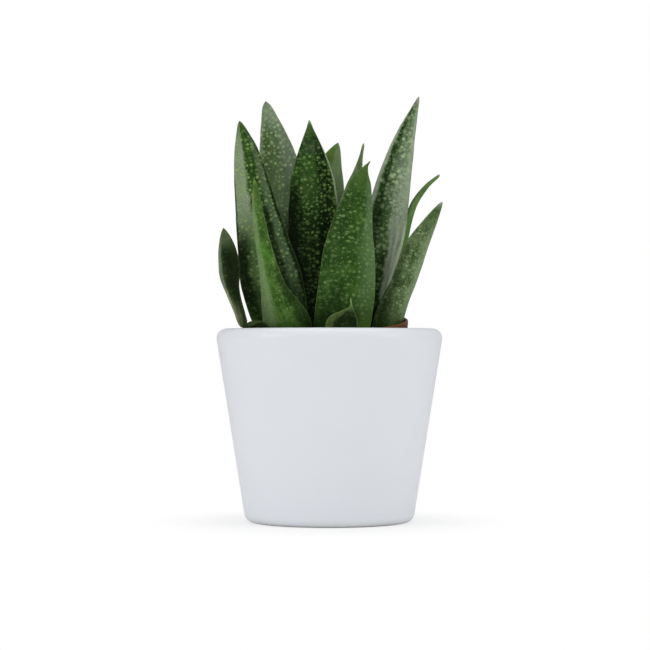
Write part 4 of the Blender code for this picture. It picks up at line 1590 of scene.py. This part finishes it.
CROWNS = (
    Crown("crown_left", (-16.4, -2.8), 6.3, 62.0, 47.0),
    Crown("crown_middle", (2.0, -1.8), 6.8, 63.4, 47.0),
    Crown("crown_right", (15.9, 0.7), 4.6, 64.1, 49.0),
    Crown("crown_offset", (5.2, -19.4), 2.3, 60.2, 51.0),
)


# Stage


@dataclass(frozen=True)
class Softbox:
    """A square area light: where it stands, what it points at, its side and its power."""

    name: str
    at: Point
    towards: Point
    side: float
    power: float

    def build(self) -> None:
        """Adds the light, its lengths in metres."""
        data = bpy.data.lights.new(self.name, "AREA")
        data.shape = "SQUARE"
        data.size = self.side
        data.energy = self.power
        light = add(self.name, data)
        light.location = self.at
        aim = Vector(self.towards) - Vector(self.at)
        light.rotation_euler = aim.to_track_quat("-Z", "Y").to_euler()


@dataclass
class Studio:
    """A pale seamless stage, soft lights and the camera at the usual seat."""

    floor_reach: float = 3.0
    floor: Tone = (246.99, 246.99, 246.99)
    floor_cloud: Tone = (231.11, 231.11, 231.11)
    lights: tuple[Softbox, ...] = field(default_factory=lambda: (
        Softbox("over", (0.0, 0.1, 0.9), (0.0, 0.0, 0.05), 0.9, 3.8),
        Softbox("left", (-0.75, -0.45, 0.35), (0.0, 0.0, 0.08), 0.5, 2.6),
        Softbox("right", (0.75, -0.35, 0.4), (0.0, 0.0, 0.08), 0.5, 2.3),
        Softbox("front", (0.0, -1.2, 0.25), (0.0, 0.0, 0.05), 0.8, 1.7),
    ))
    seat: Point = (-1.54, -740.0, 59.0)
    pitch: float = 0.76
    view_width: float = 227.7

    def build(self) -> None:
        """Lays the floor, hangs the lights, sets the background and seats the camera."""
        shape = bmesh.new()
        bmesh.ops.create_circle(shape, cap_ends=True, segments=96, radius=self.floor_reach)
        coat = Coat("floor", self.floor)
        place = coat.own_place()
        coat.over(coat.ramp(coat.noise(place, 3.0), 0.3, 0.7, 0.0, 0.02), self.floor_cloud)
        coat.lay(0.9, 0.1)
        away = coat.out("VectorMath", (place,), "Value", operation="LENGTH")
        seen = coat.out("LightPath", (), "Is Camera Ray")
        glow = coat.times(coat.ramp(away, 0.03, 0.07, 0.65, 1.0), seen)
        white = coat.out("Emission", (WHITE,))
        both = coat.out("MixShader", (glow, coat.shader.outputs[0], white))
        coat.feed(coat.tree.nodes["Material Output"].inputs["Surface"], both)
        add("floor", mesh_from(shape, "floor"), coat.material)
        for light in self.lights:
            light.build()
        self.background()
        self.camera()

    def background(self) -> None:
        """Sets a white surround that lights the part softly."""
        world = bpy.data.worlds.new("surround")
        world.use_nodes = True
        graph = Graph(world.node_tree)
        seen = graph.out("LightPath", (), "Is Camera Ray")
        lit = graph.out("Background", ((0.95, 0.97, 1.0, 1.0), 0.4))
        both = graph.out("MixShader", (seen, lit, graph.out("Background", (WHITE, 1.0))))
        graph.feed(world.node_tree.nodes["World Output"].inputs["Surface"], both)
        bpy.context.scene.world = world
        bpy.context.scene.view_settings.view_transform = "Standard"

    def camera(self) -> None:
        """Seats a long lens level with the leaves' feet, tipped up a little."""
        data = bpy.data.cameras.new("seat")
        data.sensor_width = 36.0
        data.lens = data.sensor_width * -self.seat[1] / self.view_width
        data.clip_start, data.clip_end = 0.01, 20.0
        camera = add("seat", data)
        camera.location = Vector(self.seat) * MM
        camera.rotation_euler = (math.radians(90.0 + self.pitch), 0.0, 0.0)
        bpy.context.scene.camera = camera


def main() -> None:
    """Builds every piece in order."""
    logging.basicConfig(level=logging.INFO, format="%(name)s %(message)s")
    for obj in list(bpy.data.objects):
        if obj.type in {"CAMERA", "LIGHT"}:
            bpy.data.objects.remove(obj)
    nursery = NurseryPot()
    for part in (CoverPot(), nursery, Soil(nursery), *CROWNS):
        part.build()
    for index, blade in enumerate(BLADES):
        blade.build(index)
    Studio().build()


if __name__ == "__main__":
    main()
